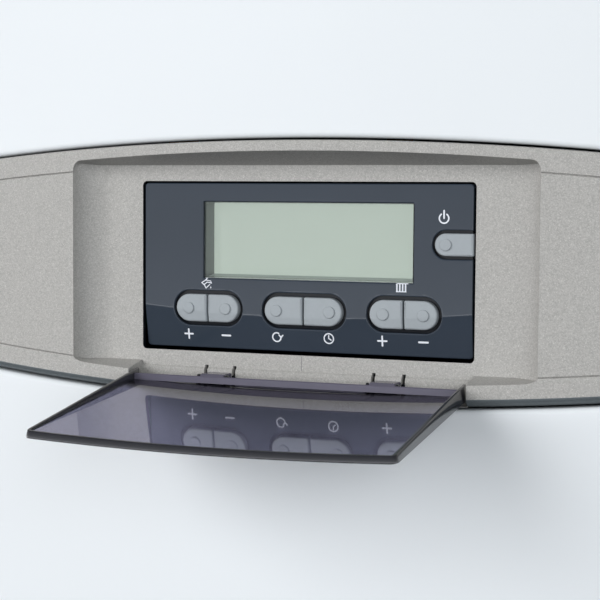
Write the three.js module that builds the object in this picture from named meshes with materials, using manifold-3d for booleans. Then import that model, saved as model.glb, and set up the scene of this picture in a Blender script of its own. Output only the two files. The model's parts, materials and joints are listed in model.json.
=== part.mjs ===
// A wall-hung combination boiler: white casing, bowed control band with a recessed controller and a
// drop-down flap, room-sealed combustion side above and hydraulic group below.
//
// Millimetres. The origin is the centre of the wall bracket's rear face, on the wall plane.
// +X is right as seen from the room, -Y is out of the wall and +Z is up. A depth d is measured out
// from the wall, or from the controller's face inside the controls group, so that y = -d.

import * as THREE from 'three';
import { mergeVertices } from 'three/addons/utils/BufferGeometryUtils.js';
import Module from 'manifold-3d';

const wasm = await Module();
wasm.setup();

// ---------------------------------------------------------------- driving dimensions

// Casing
const casingWidth = 450;
const casingBelowBand = 225; // middle of the controller to the casing's underside
const casingDepth = 345; // wall to the middle of the bowed front
const casingAboveBracket = 55;
const bowRadius = 1180;
const cornerRadius = 12;
const sheet = 1.5;
const casingReturn = 50;
const sideFlange = 12;

// Clearances
const fit = 0.3; // between pieces that rest on each other
const runningGap = 0.4; // round shafts, buttons and pipes in their holes
const bandGap = 1; // shadow gap between the band and the casing

// Wall bracket and back frame
const bracketWidth = 300;
const bracketPlate = 2.5;
const bracketBelow = 25;
const bracketLipHeight = 22;
const bracketLedge = 10;
const bracketReach = 8.5;
const bracketScrewSpacing = 240;
const bracketScrewHole = 8;
const frameOffset = 12.5;
const hookWidth = 200;
const frameFoot = 14;

// Control band
const bandBelowAirBox = 92; // air box's floor to the middle of the controller, and the top clearance
const bandRise = 53.8;
const bandFall = 55.6;
const bandInset = 13; // band's ends in from the casing's sides
const bandArcRadius = 1450;
const bandProud = 1.5;
const bandLead = 15.4; // band front ahead of the controller's face, at the middle
const bandSkin = 2.5;
const bandDepth = 24; // how far the band's rim runs back from its ends

// Recess round the controller
const recessHalfWidth = 104;
const recessFloorHalfWidth = 90;
const recessScoopDepth = 10.8;
const recessRise = 49.2;
const recessFall = 47.5;
const recessFloorRise = 44.3;
const recessFloorFall = 42.2;
const recessArcRadius = 1322;

// Controller
const controllerWidth = 150;
const controllerHeight = 72.5;
const controllerDepth = 28;
const controllerWall = 2.2;
const controllerGap = 1; // black gap round the controller
const controllerFlange = 4;
const creaseFall = 20.9;
const creaseRadius = 740;
const lowerSlant = 2.5;
const displayWidth = 94.4;
const displayHeight = 33;
const displayShift = 1.9; // display centre right of the controller's middle
const displayLift = 11.5;
const displayRebate = 1;
const displayPane = 1.2;
const displayDepth = 10.4;

// Buttons
const buttonHeight = 12;
const buttonFall = 18.1;
const buttonProud = 1;
const buttonTravel = 1;
const buttonSplit = 0.8;
const buttonRim = 0.9;
const outerPairWidth = 29.3;
const middlePairWidth = 35;
const pairPitch = 44.2;
const pairShift = 1;
const wellMargin = 1.4;
const wellDepth = 1.1;
const discRadius = 2.1;
const discProud = 0.4;
const outerDiscOffset = 8.7;
const middleDiscOffset = 12;
const powerHeight = 9.3;
const powerWidth = 16.7;
const powerLift = 11.2;

// Flap
const flapWidth = 150;
const flapGap = 0.6;
const flapPlate = 1.6;
const flapPivotDepth = 8.1;
const flapPivotFall = 47.4;
const flapRootRadius = 4.8;
const flapBow = 1.2;
const flapRim = 1.8;
const flapRimRoot = 6.4;
const flapRimTip = 2.7;
const flapOpenAngle = 95.8;
const flapTopGap = 0.8;
const hingeSpacing = 76.3;
const hingeShift = 2.15;
const hingeLug = 12;
const hingePinRadius = 1.1;
const lugRadius = 2.2;
const hingeEar = 1;
const ribThickness = 1.2; // along the flap's inside, ahead of the lugs when it is open
const ribReach = 3.8;
const hingeRail = 2.9;
const notchLip = 0.6;
const hingeSlot = 1.6;

// Control box
const controlBoxInset = 22; // in from the band's ends
const controlBoxHeight = 84;
const controlBoxDepth = 62;
const controlBoxWall = 2;
const boardThickness = 1.6;
const standoff = 4;
const boardEdge = 20; // transformer in from the board's end
const transformerWidth = 50;
const transformerHeight = 34;
const transformerRise = 20;
const transformerFall = 25;
const terminalWidth = 60;
const terminalHeight = 14;
const terminalRise = 12;
const terminalInset = 30;
const relayWidth = 18;
const relayPitch = 30;
const relayHeight = 16;
const relayRise = 22;
const relayFoot = 8;
const capacitorX = 60;
const capacitorRadius = 9;
const capacitorHeight = 26;

// Air box and flue
const airBoxDepth = 192;
const airBoxHeight = 446;
const airBoxBack = 106;
const airBoxWall = 2;
const flueBore = 57;
const flueTube = 1.5;
const airDuct = 100;
const flueHeight = 55;
const flueFlange = 20;
const flueRib = 2;
const sightRadius = 14;

// Combustion side
const burnerZone = 42;
const chamberOverhang = 10; // beyond the heat exchanger at each side
const chamberDepth = 172;
const hoodZone = 169; // from the heat exchanger to the air box's top
const chamberWall = 14;
const burnerBar = 11;
const burnerPitch = 20;
const burnerBarCount = 10;
const burnerBarHeight = 34;
const burnerFlange = 3;
const gasRailRadius = 8;
const electrodeRadius = 5;
const electrodeX = 60;
const exchangerWidth = 230;
const exchangerDepth = 156;
const exchangerHeight = 65;
const exchangerSlot = 9;
const exchangerSlotPitch = 18;
const hoodThickness = 1.5;
const hoodLower = 24;
const hoodUpperDepth = 34;
const fanThickness = 60;
const fanRadius = 45;
const fanSpread = 23;
const fanWall = 2;
const fanMouth = 30;
const impellerRadius = 38;
const impellerBlade = 9;
const fanShaft = 4;
const fanMotorRadius = 30;
const fanMotorLength = 44;
const fanBladeCount = 12;

// Expansion vessel
const vesselSize = 300;
const vesselDepth = 90;
const vesselCorner = 50;
const vesselTop = 40; // below the casing's top
const vesselStub = 24;
const vesselPipeRadius = 5;

// Hydraulic side
const connectorPitch = 65;
const connectorDepth = 110;
const connectorReach = 37; // below the casing
const largeThread = 26.4;
const smallThread = 20.9;
const largeBore = 20;
const smallBore = 15;
const collarHeight = 9;
const collarWidth = 4;
const pipeRadius = 9;
const pipeWall = 1;
const pipeDepth = 150;
const pipeStandoff = 27; // water pipes out from the heat exchanger's ends
const gasPipeRadius = 7;
const gasBend = 17; // gas pipe below the air box
const manifoldWidth = 52;
const manifoldDepth = 72;
const manifoldHeight = 70;
const manifoldLift = 22;
const pumpRadius = 44;
const pumpDepth = 30;
const pumpWall = 5;
const pumpMotorRadius = 42;
const pumpMotorLength = 76;
const pumpShaft = 5;
const pumpImpellerRadius = 30;
const shaftEngagement = 12;
const spindleRadius = 3;
const spindleDisc = 7.5;
const spindleLength = 62;
const diverterTravel = 8;
const diverterMotorWidth = 44;
const diverterMotorHeight = 60;
const diverterMotorDepth = 58;
const plateExchangerLift = 58;
const plateExchangerHeight = 76;
const plateExchangerDepth = 44;
const plateCount = 10;
const plateThickness = 2;
const gasValveWidth = 78;
const gasValveHeight = 88;
const gasValveDepth = 70;
const coilRadius = 14;
const coilLength = 28;
const safetyBossRadius = 10;
const safetyBossLength = 14;
const safetyKnobRadius = 13;
const safetyKnobLength = 18;
const undersideDepth = 215; // gauge and tap, out from the wall
const gaugeRadius = 19;
const gaugeHeight = 24;
const gaugeProud = 6;
const gaugeWall = 2;
const needleLength = 13;
const tapBody = 28;
const tapKnobRadius = 14;
const tapKnobHeight = 18;
const tapShaft = 3.5;

// ---------------------------------------------------------------- derived places

const bandDrop = airBoxHeight + bandBelowAirBox; // casing top to the middle of the controller
const casingHeight = bandDrop + casingBelowBand;
const top = casingAboveBracket;
const bottom = top - casingHeight;
const halfWidth = casingWidth / 2;
const innerHalfWidth = halfWidth - sheet;
const bandHalfWidth = halfWidth - bandInset;
const controlBoxHalfWidth = bandHalfWidth - controlBoxInset;
const chamberWidth = exchangerWidth + 2 * chamberOverhang;
const chamberHeight = airBoxHeight - burnerZone - exchangerHeight - hoodZone;
const bandCentre = top - bandDrop;
const faceDepth = casingDepth + bandProud - bandLead;
const cornerDepth = casingDepth - sag(bowRadius, halfWidth - cornerRadius);
const returnDepth = cornerDepth - casingReturn;
const railDepth = returnDepth - 1;
const framePanel = frameOffset + sheet;
const bandBack = cornerDepth - bandDepth;
const airBoxInside = airBoxBack + airBoxWall + fit;
const fanFront = airBoxInside + hoodUpperDepth + fit + fanThickness;
const fanDepth = fanFront - fanThickness / 2;
const ductHole = airDuct / 2 - flueTube - fit;

// ---------------------------------------------------------------- shape helpers

/** How far a circular arc of this radius drops at a distance from its middle. */
function sag(radius, distance) {
  return radius - Math.sqrt(radius * radius - distance * distance);
}

/** Evenly spaced values from first to last, both included. */
function steps(first, last, count) {
  return Array.from({ length: count + 1 }, (_, i) => first + ((last - first) * i) / count);
}

// Coordinates are rounded to this step, so that faces meant to lie in one plane do
const gridStep = 1 / 4096;

/** A manifold solid from a closed geometry. */
function solid(geometry) {
  geometry.deleteAttribute('normal');
  geometry.deleteAttribute('uv');
  const merged = mergeVertices(geometry, 1e-4);
  const onGrid = (value) => Math.round(value / gridStep) * gridStep;
  const vertProperties = Float32Array.from(merged.attributes.position.array, onGrid);
  const triVerts = new Uint32Array(merged.index.array);
  return new wasm.Manifold(new wasm.Mesh({ numProp: 3, vertProperties, triVerts }));
}

/** A renderable geometry from a manifold solid. */
function geometryOf(manifold) {
  const mesh = manifold.getMesh();
  const positions = new Float32Array((mesh.vertProperties.length / mesh.numProp) * 3);
  for (let i = 0; i < positions.length / 3; i += 1) {
    for (let axis = 0; axis < 3; axis += 1) {
      positions[3 * i + axis] = mesh.vertProperties[mesh.numProp * i + axis];
    }
  }
  const geometry = new THREE.BufferGeometry();
  geometry.setAttribute('position', new THREE.BufferAttribute(positions, 3));
  geometry.setIndex(new THREE.BufferAttribute(new Uint32Array(mesh.triVerts), 1));
  const flat = geometry.toNonIndexed();
  flat.computeVertexNormals();
  return flat;
}

/** A block between two x values, two depths and two heights. */
function block([x0, x1], [d0, d1], [z0, z1]) {
  const geometry = new THREE.BoxGeometry(x1 - x0, d1 - d0, z1 - z0);
  geometry.translate((x0 + x1) / 2, -(d0 + d1) / 2, (z0 + z1) / 2);
  return solid(geometry);
}

/** A round bar along X. */
function rodX(radius, [x0, x1], d, z, sides = 18) {
  const geometry = new THREE.CylinderGeometry(radius, radius, x1 - x0, sides);
  geometry.rotateZ(Math.PI / 2);
  geometry.translate((x0 + x1) / 2, -d, z);
  return solid(geometry);
}

/** A round bar along the depth. */
function rodD(radius, x, [d0, d1], z, sides = 18) {
  const geometry = new THREE.CylinderGeometry(radius, radius, d1 - d0, sides);
  geometry.translate(x, -(d0 + d1) / 2, z);
  return solid(geometry);
}

/** A round bar along Z. */
function rodZ(radius, x, d, [z0, z1], sides = 18) {
  const geometry = new THREE.CylinderGeometry(radius, radius, z1 - z0, sides);
  geometry.rotateX(Math.PI / 2);
  geometry.translate(x, -d, (z0 + z1) / 2);
  return solid(geometry);
}

/** An outline of [x, d] points extruded in Z. */
function prismZ(outline, [z0, z1]) {
  const shape = new THREE.Shape(outline.map(([x, d]) => new THREE.Vector2(x, -d)));
  const geometry = new THREE.ExtrudeGeometry(shape, { depth: z1 - z0, bevelEnabled: false });
  geometry.translate(0, 0, z0);
  return solid(geometry);
}

/** An outline of [x, z] points extruded in depth. */
function prismD(outline, [d0, d1]) {
  const shape = new THREE.Shape(outline.map(([x, z]) => new THREE.Vector2(x, z)));
  const geometry = new THREE.ExtrudeGeometry(shape, { depth: d1 - d0, bevelEnabled: false });
  geometry.translate(0, 0, d0);
  geometry.rotateX(Math.PI / 2);
  return solid(geometry);
}

/** An outline of [d, z] points extruded in X. */
function prismX(outline, [x0, x1]) {
  const shape = new THREE.Shape(outline.map(([d, z]) => new THREE.Vector2(z, d)));
  const geometry = new THREE.ExtrudeGeometry(shape, { depth: x1 - x0, bevelEnabled: false });
  geometry.applyMatrix4(new THREE.Matrix4().set(0, 0, 1, x0, 0, -1, 0, 0, 1, 0, 0, 0, 0, 0, 0, 1));
  return solid(geometry);
}

/** Triangles of a convex ring with this many points. */
function fanCap(count) {
  return Array.from({ length: count - 2 }, (_, i) => [0, i + 1, i + 2]);
}

/** Triangles of a ring in a plane of one x, turning the same way as the ring. */
function sectionCap(ring) {
  const section = ring.map(([, d, z]) => new THREE.Vector2(d, z));
  const triangles = THREE.ShapeUtils.triangulateShape(section, []);
  return THREE.ShapeUtils.isClockWise(section) ? triangles.map(([a, b, c]) => [a, c, b]) : triangles;
}

/**
 * A closed solid through rings of [x, d, z] points, each with as many points. Convex rings are
 * capped by fans, and others have to lie in planes of one x.
 */
function loft(rings, convex = true) {
  const count = rings[0].length;
  const last = (rings.length - 1) * count;
  const triangles = [];
  for (let ring = 0; ring < rings.length - 1; ring += 1) {
    for (let i = 0; i < count; i += 1) {
      const a = ring * count + i;
      const b = ring * count + ((i + 1) % count);
      triangles.push([a, b, b + count], [a, b + count, a + count]);
    }
  }
  for (const [a, b, c] of convex ? fanCap(count) : sectionCap(rings[0])) {
    triangles.push([a, c, b], [last + a, last + b, last + c]);
  }
  const closed = (faces) => {
    const geometry = new THREE.BufferGeometry();
    const positions = rings.flat().flatMap(([x, d, z]) => [x, -d, z]);
    geometry.setAttribute('position', new THREE.Float32BufferAttribute(positions, 3));
    geometry.setIndex(faces.flat());
    return solid(geometry);
  };
  const body = closed(triangles);
  return body.volume() > 0 ? body : closed(triangles.map(([a, b, c]) => [a, c, b]));
}

/** A pipe of round section along [x, d, z] points with rounded bends, open at both ends. */
function pipe(points, radius, wall, bend = 2.2 * radius) {
  const corners = points.map(([x, d, z]) => new THREE.Vector3(x, -d, z));
  const path = new THREE.CurvePath();
  let start = corners[0];
  for (let i = 1; i < corners.length - 1; i += 1) {
    const before = corners[i].clone().lerp(corners[i - 1], bend / corners[i].distanceTo(corners[i - 1]));
    const after = corners[i].clone().lerp(corners[i + 1], bend / corners[i].distanceTo(corners[i + 1]));
    path.add(new THREE.LineCurve3(start, before));
    path.add(new THREE.QuadraticBezierCurve3(before, corners[i], after));
    start = after;
  }
  path.add(new THREE.LineCurve3(start, corners[corners.length - 1]));
  const route = path.curves.flatMap((curve, i) => {
    const divisions = curve.isLineCurve3 ? 1 : 3;
    return curve.getPoints(divisions).slice(i === 0 ? 0 : 1);
  });
  return tubeThrough(route, radius).subtract(tubeThrough(route, radius - wall));
}

/** A solid round bar through points, with its rings square to the route. */
function tubeThrough(route, radius, sides = 8) {
  const rings = [];
  let normal = null;
  route.forEach((point, i) => {
    const ahead = route[Math.min(i + 1, route.length - 1)].clone().sub(point).normalize();
    const behind = point.clone().sub(route[Math.max(i - 1, 0)]).normalize();
    const tangent = ahead.clone().add(behind).normalize();
    if (normal === null) {
      const helper = Math.abs(tangent.z) < 0.9 ? new THREE.Vector3(0, 0, 1) : new THREE.Vector3(1, 0, 0);
      normal = helper;
    }
    normal = normal.clone().addScaledVector(tangent, -normal.dot(tangent)).normalize();
    const binormal = tangent.clone().cross(normal);
    const stretch = i > 0 && i < route.length - 1 ? 1 / Math.max(0.9, tangent.dot(ahead)) : 1;
    const ring = steps(0, 2 * Math.PI, sides).slice(0, sides).map((angle) => {
      const offset = normal.clone().multiplyScalar(Math.cos(angle))
        .addScaledVector(binormal, Math.sin(angle)).multiplyScalar(radius * stretch);
      const at = point.clone().add(offset);
      return [at.x, -at.y, at.z];
    });
    rings.push(ring);
  });
  return loft(rings);
}

/** Joins several solids. */
function join(...solids) {
  return solids.reduce((whole, piece) => whole.add(piece));
}

const boiler = new THREE.Group();
boiler.name = 'combi_boiler';

/** Adds one named piece to a group. */
function piece(group, name, body, [color, roughness, metalness]) {
  const material = new THREE.MeshStandardMaterial({ color, roughness, metalness });
  const mesh = new THREE.Mesh(geometryOf(body), material);
  mesh.name = name;
  group.add(mesh);
  return mesh;
}

const finishes = {
  whitePaint: ['#eef2f5', 0.35, 0],
  galvanised: ['#a9adb0', 0.45, 0.9],
  steel: ['#c3c6c8', 0.35, 0.9],
  bandSilver: ['#b2b2b0', 0.45, 0.5],
  greyPlastic: ['#4c535d', 0.3, 0],
  blackPlastic: ['#1c1d20', 0.5, 0],
  buttonGrey: ['#a6afb4', 0.4, 0],
  smokedGlass: ['#5b5868', 0.08, 0],
  clearGlass: ['#b4c0b8', 0.05, 0],
  displayGlass: ['#b3bfb6', 0.3, 0],
  circuitBoard: ['#2f6b46', 0.5, 0],
  copper: ['#b87347', 0.3, 0.9],
  brass: ['#b79a57', 0.35, 0.9],
  aluminium: ['#c9ccce', 0.4, 0.9],
  castIron: ['#3f4a50', 0.6, 0.6],
  redPaint: ['#a5342c', 0.4, 0],
  whiteDial: ['#f2f2ee', 0.5, 0],
};

// ---------------------------------------------------------------- outlines of the bowed front

/**
 * Plan outline of the bowed front: out by an offset, and open behind at a back depth.
 * Depths are measured from the datum.
 */
function bowedPlan(offset, back, datum = 0) {
  const radius = bowRadius + offset;
  const corner = cornerRadius + offset;
  const half = halfWidth + offset;
  const centre = casingDepth - bowRadius;
  const cornerX = halfWidth - cornerRadius;
  const cornerD = centre + Math.sqrt((bowRadius - cornerRadius) ** 2 - cornerX ** 2);
  const tangent = Math.atan2(cornerX, cornerD - centre);
  const right = steps(Math.PI / 2, tangent, 4).map((angle) =>
    [cornerX + corner * Math.sin(angle), cornerD + corner * Math.cos(angle)]);
  const front = steps(tangent, -tangent, 24).slice(1, -1).map((angle) =>
    [radius * Math.sin(angle), centre + radius * Math.cos(angle)]);
  const left = right.map(([x, d]) => [-x, d]).reverse();
  const outline = [[half, back + datum], ...right, ...front, ...left, [-half, back + datum]];
  return outline.map(([x, d]) => [x, d - datum]);
}

/** Front outline of the control band, about the controller's centre and grown by an amount. */
function bandOutline(grow) {
  const half = bandHalfWidth + grow;
  const across = steps(-half, half, 22);
  const upper = across.map((x) => [x, bandRise + grow - sag(bandArcRadius, x)]);
  const lower = across.map((x) => [x, -bandFall - grow + sag(bandArcRadius, x)]).reverse();
  return [...upper, ...lower];
}

// ---------------------------------------------------------------- casing

const casing = new THREE.Group();
boiler.add(casing);

const screwX = halfWidth - 45;
const screwDepth = returnDepth + 14;
const screwShank = 2;
const screwHead = 4.5;
const tabWidth = 30;

function wallBracket() {
  const plate = block([-bracketWidth / 2, bracketWidth / 2], [0, bracketPlate], [-bracketBelow, bracketLedge]);
  const ledgeBottom = bracketLedge - bracketPlate;
  const ledge = block([-bracketWidth / 2, bracketWidth / 2], [0, bracketReach], [ledgeBottom, bracketLedge]);
  const lipDepths = [bracketReach - bracketPlate, bracketReach];
  const lip = block([-bracketWidth / 2, bracketWidth / 2], lipDepths, [ledgeBottom, bracketLipHeight]);
  const holes = [-1, 1].map((side) =>
    rodD(bracketScrewHole / 2, (side * bracketScrewSpacing) / 2, [-1, bracketPlate + 1], -bracketLedge, 16));
  return join(plate, ledge, lip).subtract(holes[0]).subtract(holes[1]);
}

function backFrame() {
  const half = innerHalfWidth - fit;
  const low = bottom + sheet + fit;
  const high = top - sheet - fit;
  const panel = block([-half, half], [frameOffset, framePanel], [low, high]);
  const leftFlange = block([-half, sheet - half], [0, framePanel], [low, high]);
  const rightFlange = block([half - sheet, half], [0, framePanel], [low, high]);
  const bottomFlange = block([-half, half], [0, framePanel], [low, low + sheet]);
  const foot = block([-half, half], [0, sheet], [low, low + frameFoot]);
  const hookBack = fit;
  const hookFront = bracketReach - bracketPlate - fit;
  const hookTop = bracketLipHeight + fit + sheet;
  const hook = [-hookWidth / 2, hookWidth / 2];
  const strip = block(hook, [hookBack, framePanel], [bracketLipHeight + fit, hookTop]);
  const drop = block(hook, [hookBack, hookFront], [bracketLedge + fit, hookTop]);
  return join(panel, leftFlange, rightFlange, bottomFlange, foot, strip, drop);
}

function sidePanel(side) {
  const outline = [
    [halfWidth, 0],
    [halfWidth, railDepth],
    [halfWidth - sideFlange - sheet, railDepth],
    [halfWidth - sideFlange - sheet, railDepth - sheet],
    [innerHalfWidth, railDepth - sheet],
    [innerHalfWidth, 0],
  ].map(([x, d]) => [side * x, d]);
  return prismZ(outline, [bottom, top]);
}

const frontInset = sheet + fit;

function topPanel() {
  const half = innerHalfWidth - fit;
  const sidePlate = block([-half, half], [0, railDepth - frontInset], [top - sheet, top]);
  const lipX = halfWidth - sideFlange - sheet - fit;
  const front = block([-lipX, lipX], [railDepth - sheet - frontInset, railDepth], [top - sheet, top]);
  return join(sidePlate, front).subtract(rodZ(ductHole, 0, fanDepth, [top - 5, top + 5], 28));
}

const connectors = [
  { name: 'heating_flow_connector', at: -2, thread: largeThread, bore: largeBore },
  { name: 'hot_water_connector', at: -1, thread: smallThread, bore: smallBore },
  { name: 'gas_connector', at: 0, thread: largeThread, bore: largeBore },
  { name: 'cold_water_connector', at: 1, thread: smallThread, bore: smallBore },
  { name: 'heating_return_connector', at: 2, thread: largeThread, bore: largeBore },
];
const gaugeX = -connectorPitch;
const tapX = connectorPitch;

function bottomPanel() {
  const half = innerHalfWidth - fit;
  const lipX = halfWidth - sideFlange - sheet - fit;
  let plate = block([-half, half], [0, railDepth - frontInset], [bottom, bottom + sheet]);
  plate = plate.add(block([-lipX, lipX], [railDepth - sheet - frontInset, railDepth], [bottom, bottom + sheet]));
  const lipTop = bottom + sheet + sideFlange;
  plate = plate.add(block([-lipX, lipX], [railDepth - sheet, railDepth], [bottom, lipTop]));
  for (const side of [-1, 1]) {
    const tabX = [side * screwX - tabWidth / 2, side * screwX + tabWidth / 2];
    const tabHeights = [bottom + sheet + fit, bottom + 2 * sheet + fit];
    plate = plate.add(block(tabX, [railDepth - sheet, screwDepth + 12], tabHeights));
    plate = plate.subtract(rodZ(screwShank + fit, side * screwX, screwDepth, [bottom, bottom + 9], 16));
  }
  for (const { at, thread } of connectors) {
    const hole = thread / 2 + runningGap;
    plate = plate.subtract(rodZ(hole, at * connectorPitch, connectorDepth, [bottom - 1, bottom + 4], 18));
  }
  plate = plate.subtract(rodZ(gaugeRadius + fit, gaugeX, undersideDepth, [bottom - 1, bottom + 4], 18));
  return plate.subtract(rodZ(tapShaft + runningGap, tapX, undersideDepth, [bottom - 1, bottom + 4], 16));
}

function frontCasing() {
  const outer = prismZ(bowedPlan(0, returnDepth), [bottom, top]);
  const inner = prismZ(bowedPlan(-sheet, returnDepth - 5), [bottom + sheet, top - sheet]);
  const lens = prismD(bandOutline(bandGap), [returnDepth, casingDepth + 10]).translate([0, 0, bandCentre]);
  let shell = outer.subtract(inner).subtract(lens);
  for (const side of [-1, 1]) {
    shell = shell.subtract(rodZ(screwShank + fit, side * screwX, screwDepth, [bottom - 1, bottom + 2], 16));
  }
  return shell;
}

function casingScrew(side) {
  const shank = rodZ(screwShank, side * screwX, screwDepth, [bottom - fit - 1, bottom + 8], 12);
  const head = rodZ(screwHead, side * screwX, screwDepth, [bottom - fit - 2.5, bottom - fit], 16);
  const slot = block([side * screwX - screwHead, side * screwX + screwHead],
    [screwDepth - 0.5, screwDepth + 0.5], [bottom - fit - 3, bottom - fit - 1.5]);
  return shank.add(head).subtract(slot);
}

piece(casing, 'wall_bracket', wallBracket(), finishes.galvanised);
piece(casing, 'back_frame', backFrame(), finishes.galvanised);
piece(casing, 'left_side_panel', sidePanel(-1), finishes.whitePaint);
piece(casing, 'right_side_panel', sidePanel(1), finishes.whitePaint);
piece(casing, 'top_panel', topPanel(), finishes.whitePaint);
piece(casing, 'bottom_panel', bottomPanel(), finishes.galvanised);
piece(casing, 'front_casing', frontCasing(), finishes.whitePaint);
piece(casing, 'casing_screw_left', casingScrew(-1), finishes.steel);
piece(casing, 'casing_screw_right', casingScrew(1), finishes.steel);

// ---------------------------------------------------------------- controls, about the controller's face

const controls = new THREE.Group();
controls.position.set(0, -faceDepth, bandCentre);
boiler.add(controls);

const bandSpan = [-bandFall - 10, bandRise + 10];
const rimBack = bandBack - faceDepth;

/** The bowed volume behind the band's surface, moved out by an offset. */
function bowedVolume(offset, back) {
  return prismZ(bowedPlan(offset, back, faceDepth), bandSpan);
}

/** The recess as a solid, grown by a wall on all its sides and its floor. */
function recess(grow) {
  const levels = [...steps(Math.PI / 2, 0, 5).map((angle) => recessScoopDepth * (1 - Math.sin(angle))), bandLead + 6];
  const rings = levels.map((level) => {
    const beyond = Math.min(level, recessScoopDepth) / recessScoopDepth;
    const scoop = Math.sqrt(Math.max(0, 1 - (1 - beyond) ** 2));
    const half = recessFloorHalfWidth + (recessHalfWidth - recessFloorHalfWidth) * scoop + grow;
    const lead = level / bandLead;
    const across = steps(-half, half, 12);
    const rise = (x) => recessRise - sag(recessArcRadius, x) - recessFloorRise;
    const fall = (x) => recessFall - sag(recessArcRadius, x) - recessFloorFall;
    const depth = level - grow;
    const upper = across.map((x) => [x, depth, recessFloorRise + grow + lead * rise(x)]);
    const lower = across.map((x) => [x, depth, -recessFloorFall - grow - lead * fall(x)]).reverse();
    return [...upper, ...lower];
  });
  return loft(rings);
}

const lugPlaces = [-1, 1].map((side) => hingeShift + (side * hingeSpacing) / 2);
const lugHalf = hingeLug / 2;
const notchHalf = flapWidth / 2 + flapGap;
const cheek = notchHalf + bandSkin;

/** The notch in the band's lower edge that the flap's root turns in. */
function flapNotch() {
  const across = steps(-notchHalf, notchHalf, 8);
  const floor = across.map((x) => [x, -bandFall + notchLip + sag(bandArcRadius, x)]);
  const roof = -recessFloorFall + 2;
  return prismD([...floor, [notchHalf, roof], [-notchHalf, roof]], [hingeRail, bandLead + 20]);
}

function controlFascia() {
  const inFront = bowedVolume(bandProud, rimBack);
  const shell = inFront.intersect(prismD(bandOutline(0), [rimBack - 1, bandLead + 10]));
  const hollow = bowedVolume(bandProud - bandSkin, rimBack - 10);
  let fascia = shell.subtract(hollow.intersect(prismD(bandOutline(-bandSkin), [rimBack - 20, bandLead + 20])));
  fascia = fascia.add(recess(bandSkin).intersect(shell));
  const railHeights = [-bandFall - 2, -recessFloorFall + 1];
  const rail = block([-cheek, cheek], [-bandSkin, bandLead + 5], railHeights);
  fascia = fascia.add(rail.intersect(shell)).subtract(recess(0)).subtract(flapNotch());
  for (const x of lugPlaces) {
    const span = [x - lugHalf, x + lugHalf];
    const nose = rodX(lugRadius, span, flapPivotDepth, -flapPivotFall, 14);
    const heights = [-flapPivotFall - lugRadius, -flapPivotFall + lugRadius];
    const neck = block(span, [hingeRail - 1, flapPivotDepth], heights);
    const bore = rodX(hingePinRadius + fit, [x - 20, x + 20], flapPivotDepth, -flapPivotFall, 10);
    fascia = fascia.add(join(nose, neck).subtract(bore));
    for (const side of [-1, 1]) {
      const middle = x + side * (lugHalf + hingeEar);
      const slot = [middle - hingeSlot / 2, middle + hingeSlot / 2];
      fascia = fascia.subtract(block(slot, [-bandSkin - 1, hingeRail + 1], [-flapPivotFall + 1, -recessFloorFall - 1]));
    }
  }
  const opening = [controllerWidth / 2 + controllerGap, controllerHeight / 2 + controllerGap];
  return fascia.subtract(block([-opening[0], opening[0]], [-bandSkin - 1, 1], [-opening[1], opening[1]]));
}

/** The controller's body: flat above the crease and slanted back below it. */
function controllerBody(offset, shrink, back) {
  const half = controllerWidth / 2 - shrink;
  const rise = controllerHeight / 2 - shrink;
  return loft(steps(-half, half, 8).map((x) => {
    const crease = -creaseFall + sag(creaseRadius, x);
    const slant = (lowerSlant * (-crease - rise)) / (creaseFall - controllerHeight / 2);
    return [
      [x, offset, rise],
      [x, back, rise],
      [x, back, -rise],
      [x, offset - slant, -rise],
      [x, offset, crease],
    ];
  }));
}

const displayX = [displayShift - displayWidth / 2, displayShift + displayWidth / 2];
const displayZ = [displayLift - displayHeight / 2, displayLift + displayHeight / 2];

/** A block over the display's place, grown outwards by an amount. */
function displayBlock(grow, depths) {
  return block([displayX[0] - grow, displayX[1] + grow], depths, [displayZ[0] - grow, displayZ[1] + grow]);
}

/** Outline of a bar with round ends, cut to the part between two x values. */
function barOutline([x0, x1], halfHeight, z, roundLeft, roundRight) {
  const outline = [];
  const right = roundRight ? x1 - halfHeight : x1;
  const left = roundLeft ? x0 + halfHeight : x0;
  const rightTurn = roundRight ? steps(-Math.PI / 2, Math.PI / 2, 6) : [-Math.PI / 2, Math.PI / 2];
  const leftTurn = roundLeft ? steps(Math.PI / 2, (3 * Math.PI) / 2, 6) : [Math.PI / 2, (3 * Math.PI) / 2];
  for (const angle of rightTurn) {
    const bulge = roundRight ? halfHeight * Math.cos(angle) : 0;
    outline.push([right + bulge, z + halfHeight * Math.sin(angle)]);
  }
  for (const angle of leftTurn) {
    const bulge = roundLeft ? halfHeight * Math.cos(angle) : 0;
    outline.push([left + bulge, z + halfHeight * Math.sin(angle)]);
  }
  return outline;
}

const pairs = [
  { place: -1, width: outerPairWidth, disc: outerDiscOffset, names: ['button_hot_water_plus', 'button_hot_water_minus'] },
  { place: 0, width: middlePairWidth, disc: middleDiscOffset, names: ['button_reset', 'button_clock'] },
  { place: 1, width: outerPairWidth, disc: outerDiscOffset, names: ['button_heating_plus', 'button_heating_minus'] },
];
const pairCentre = (pair) => pairShift + pair.place * pairPitch;
const powerX = [controllerWidth / 2 - powerWidth, controllerWidth / 2];

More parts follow.
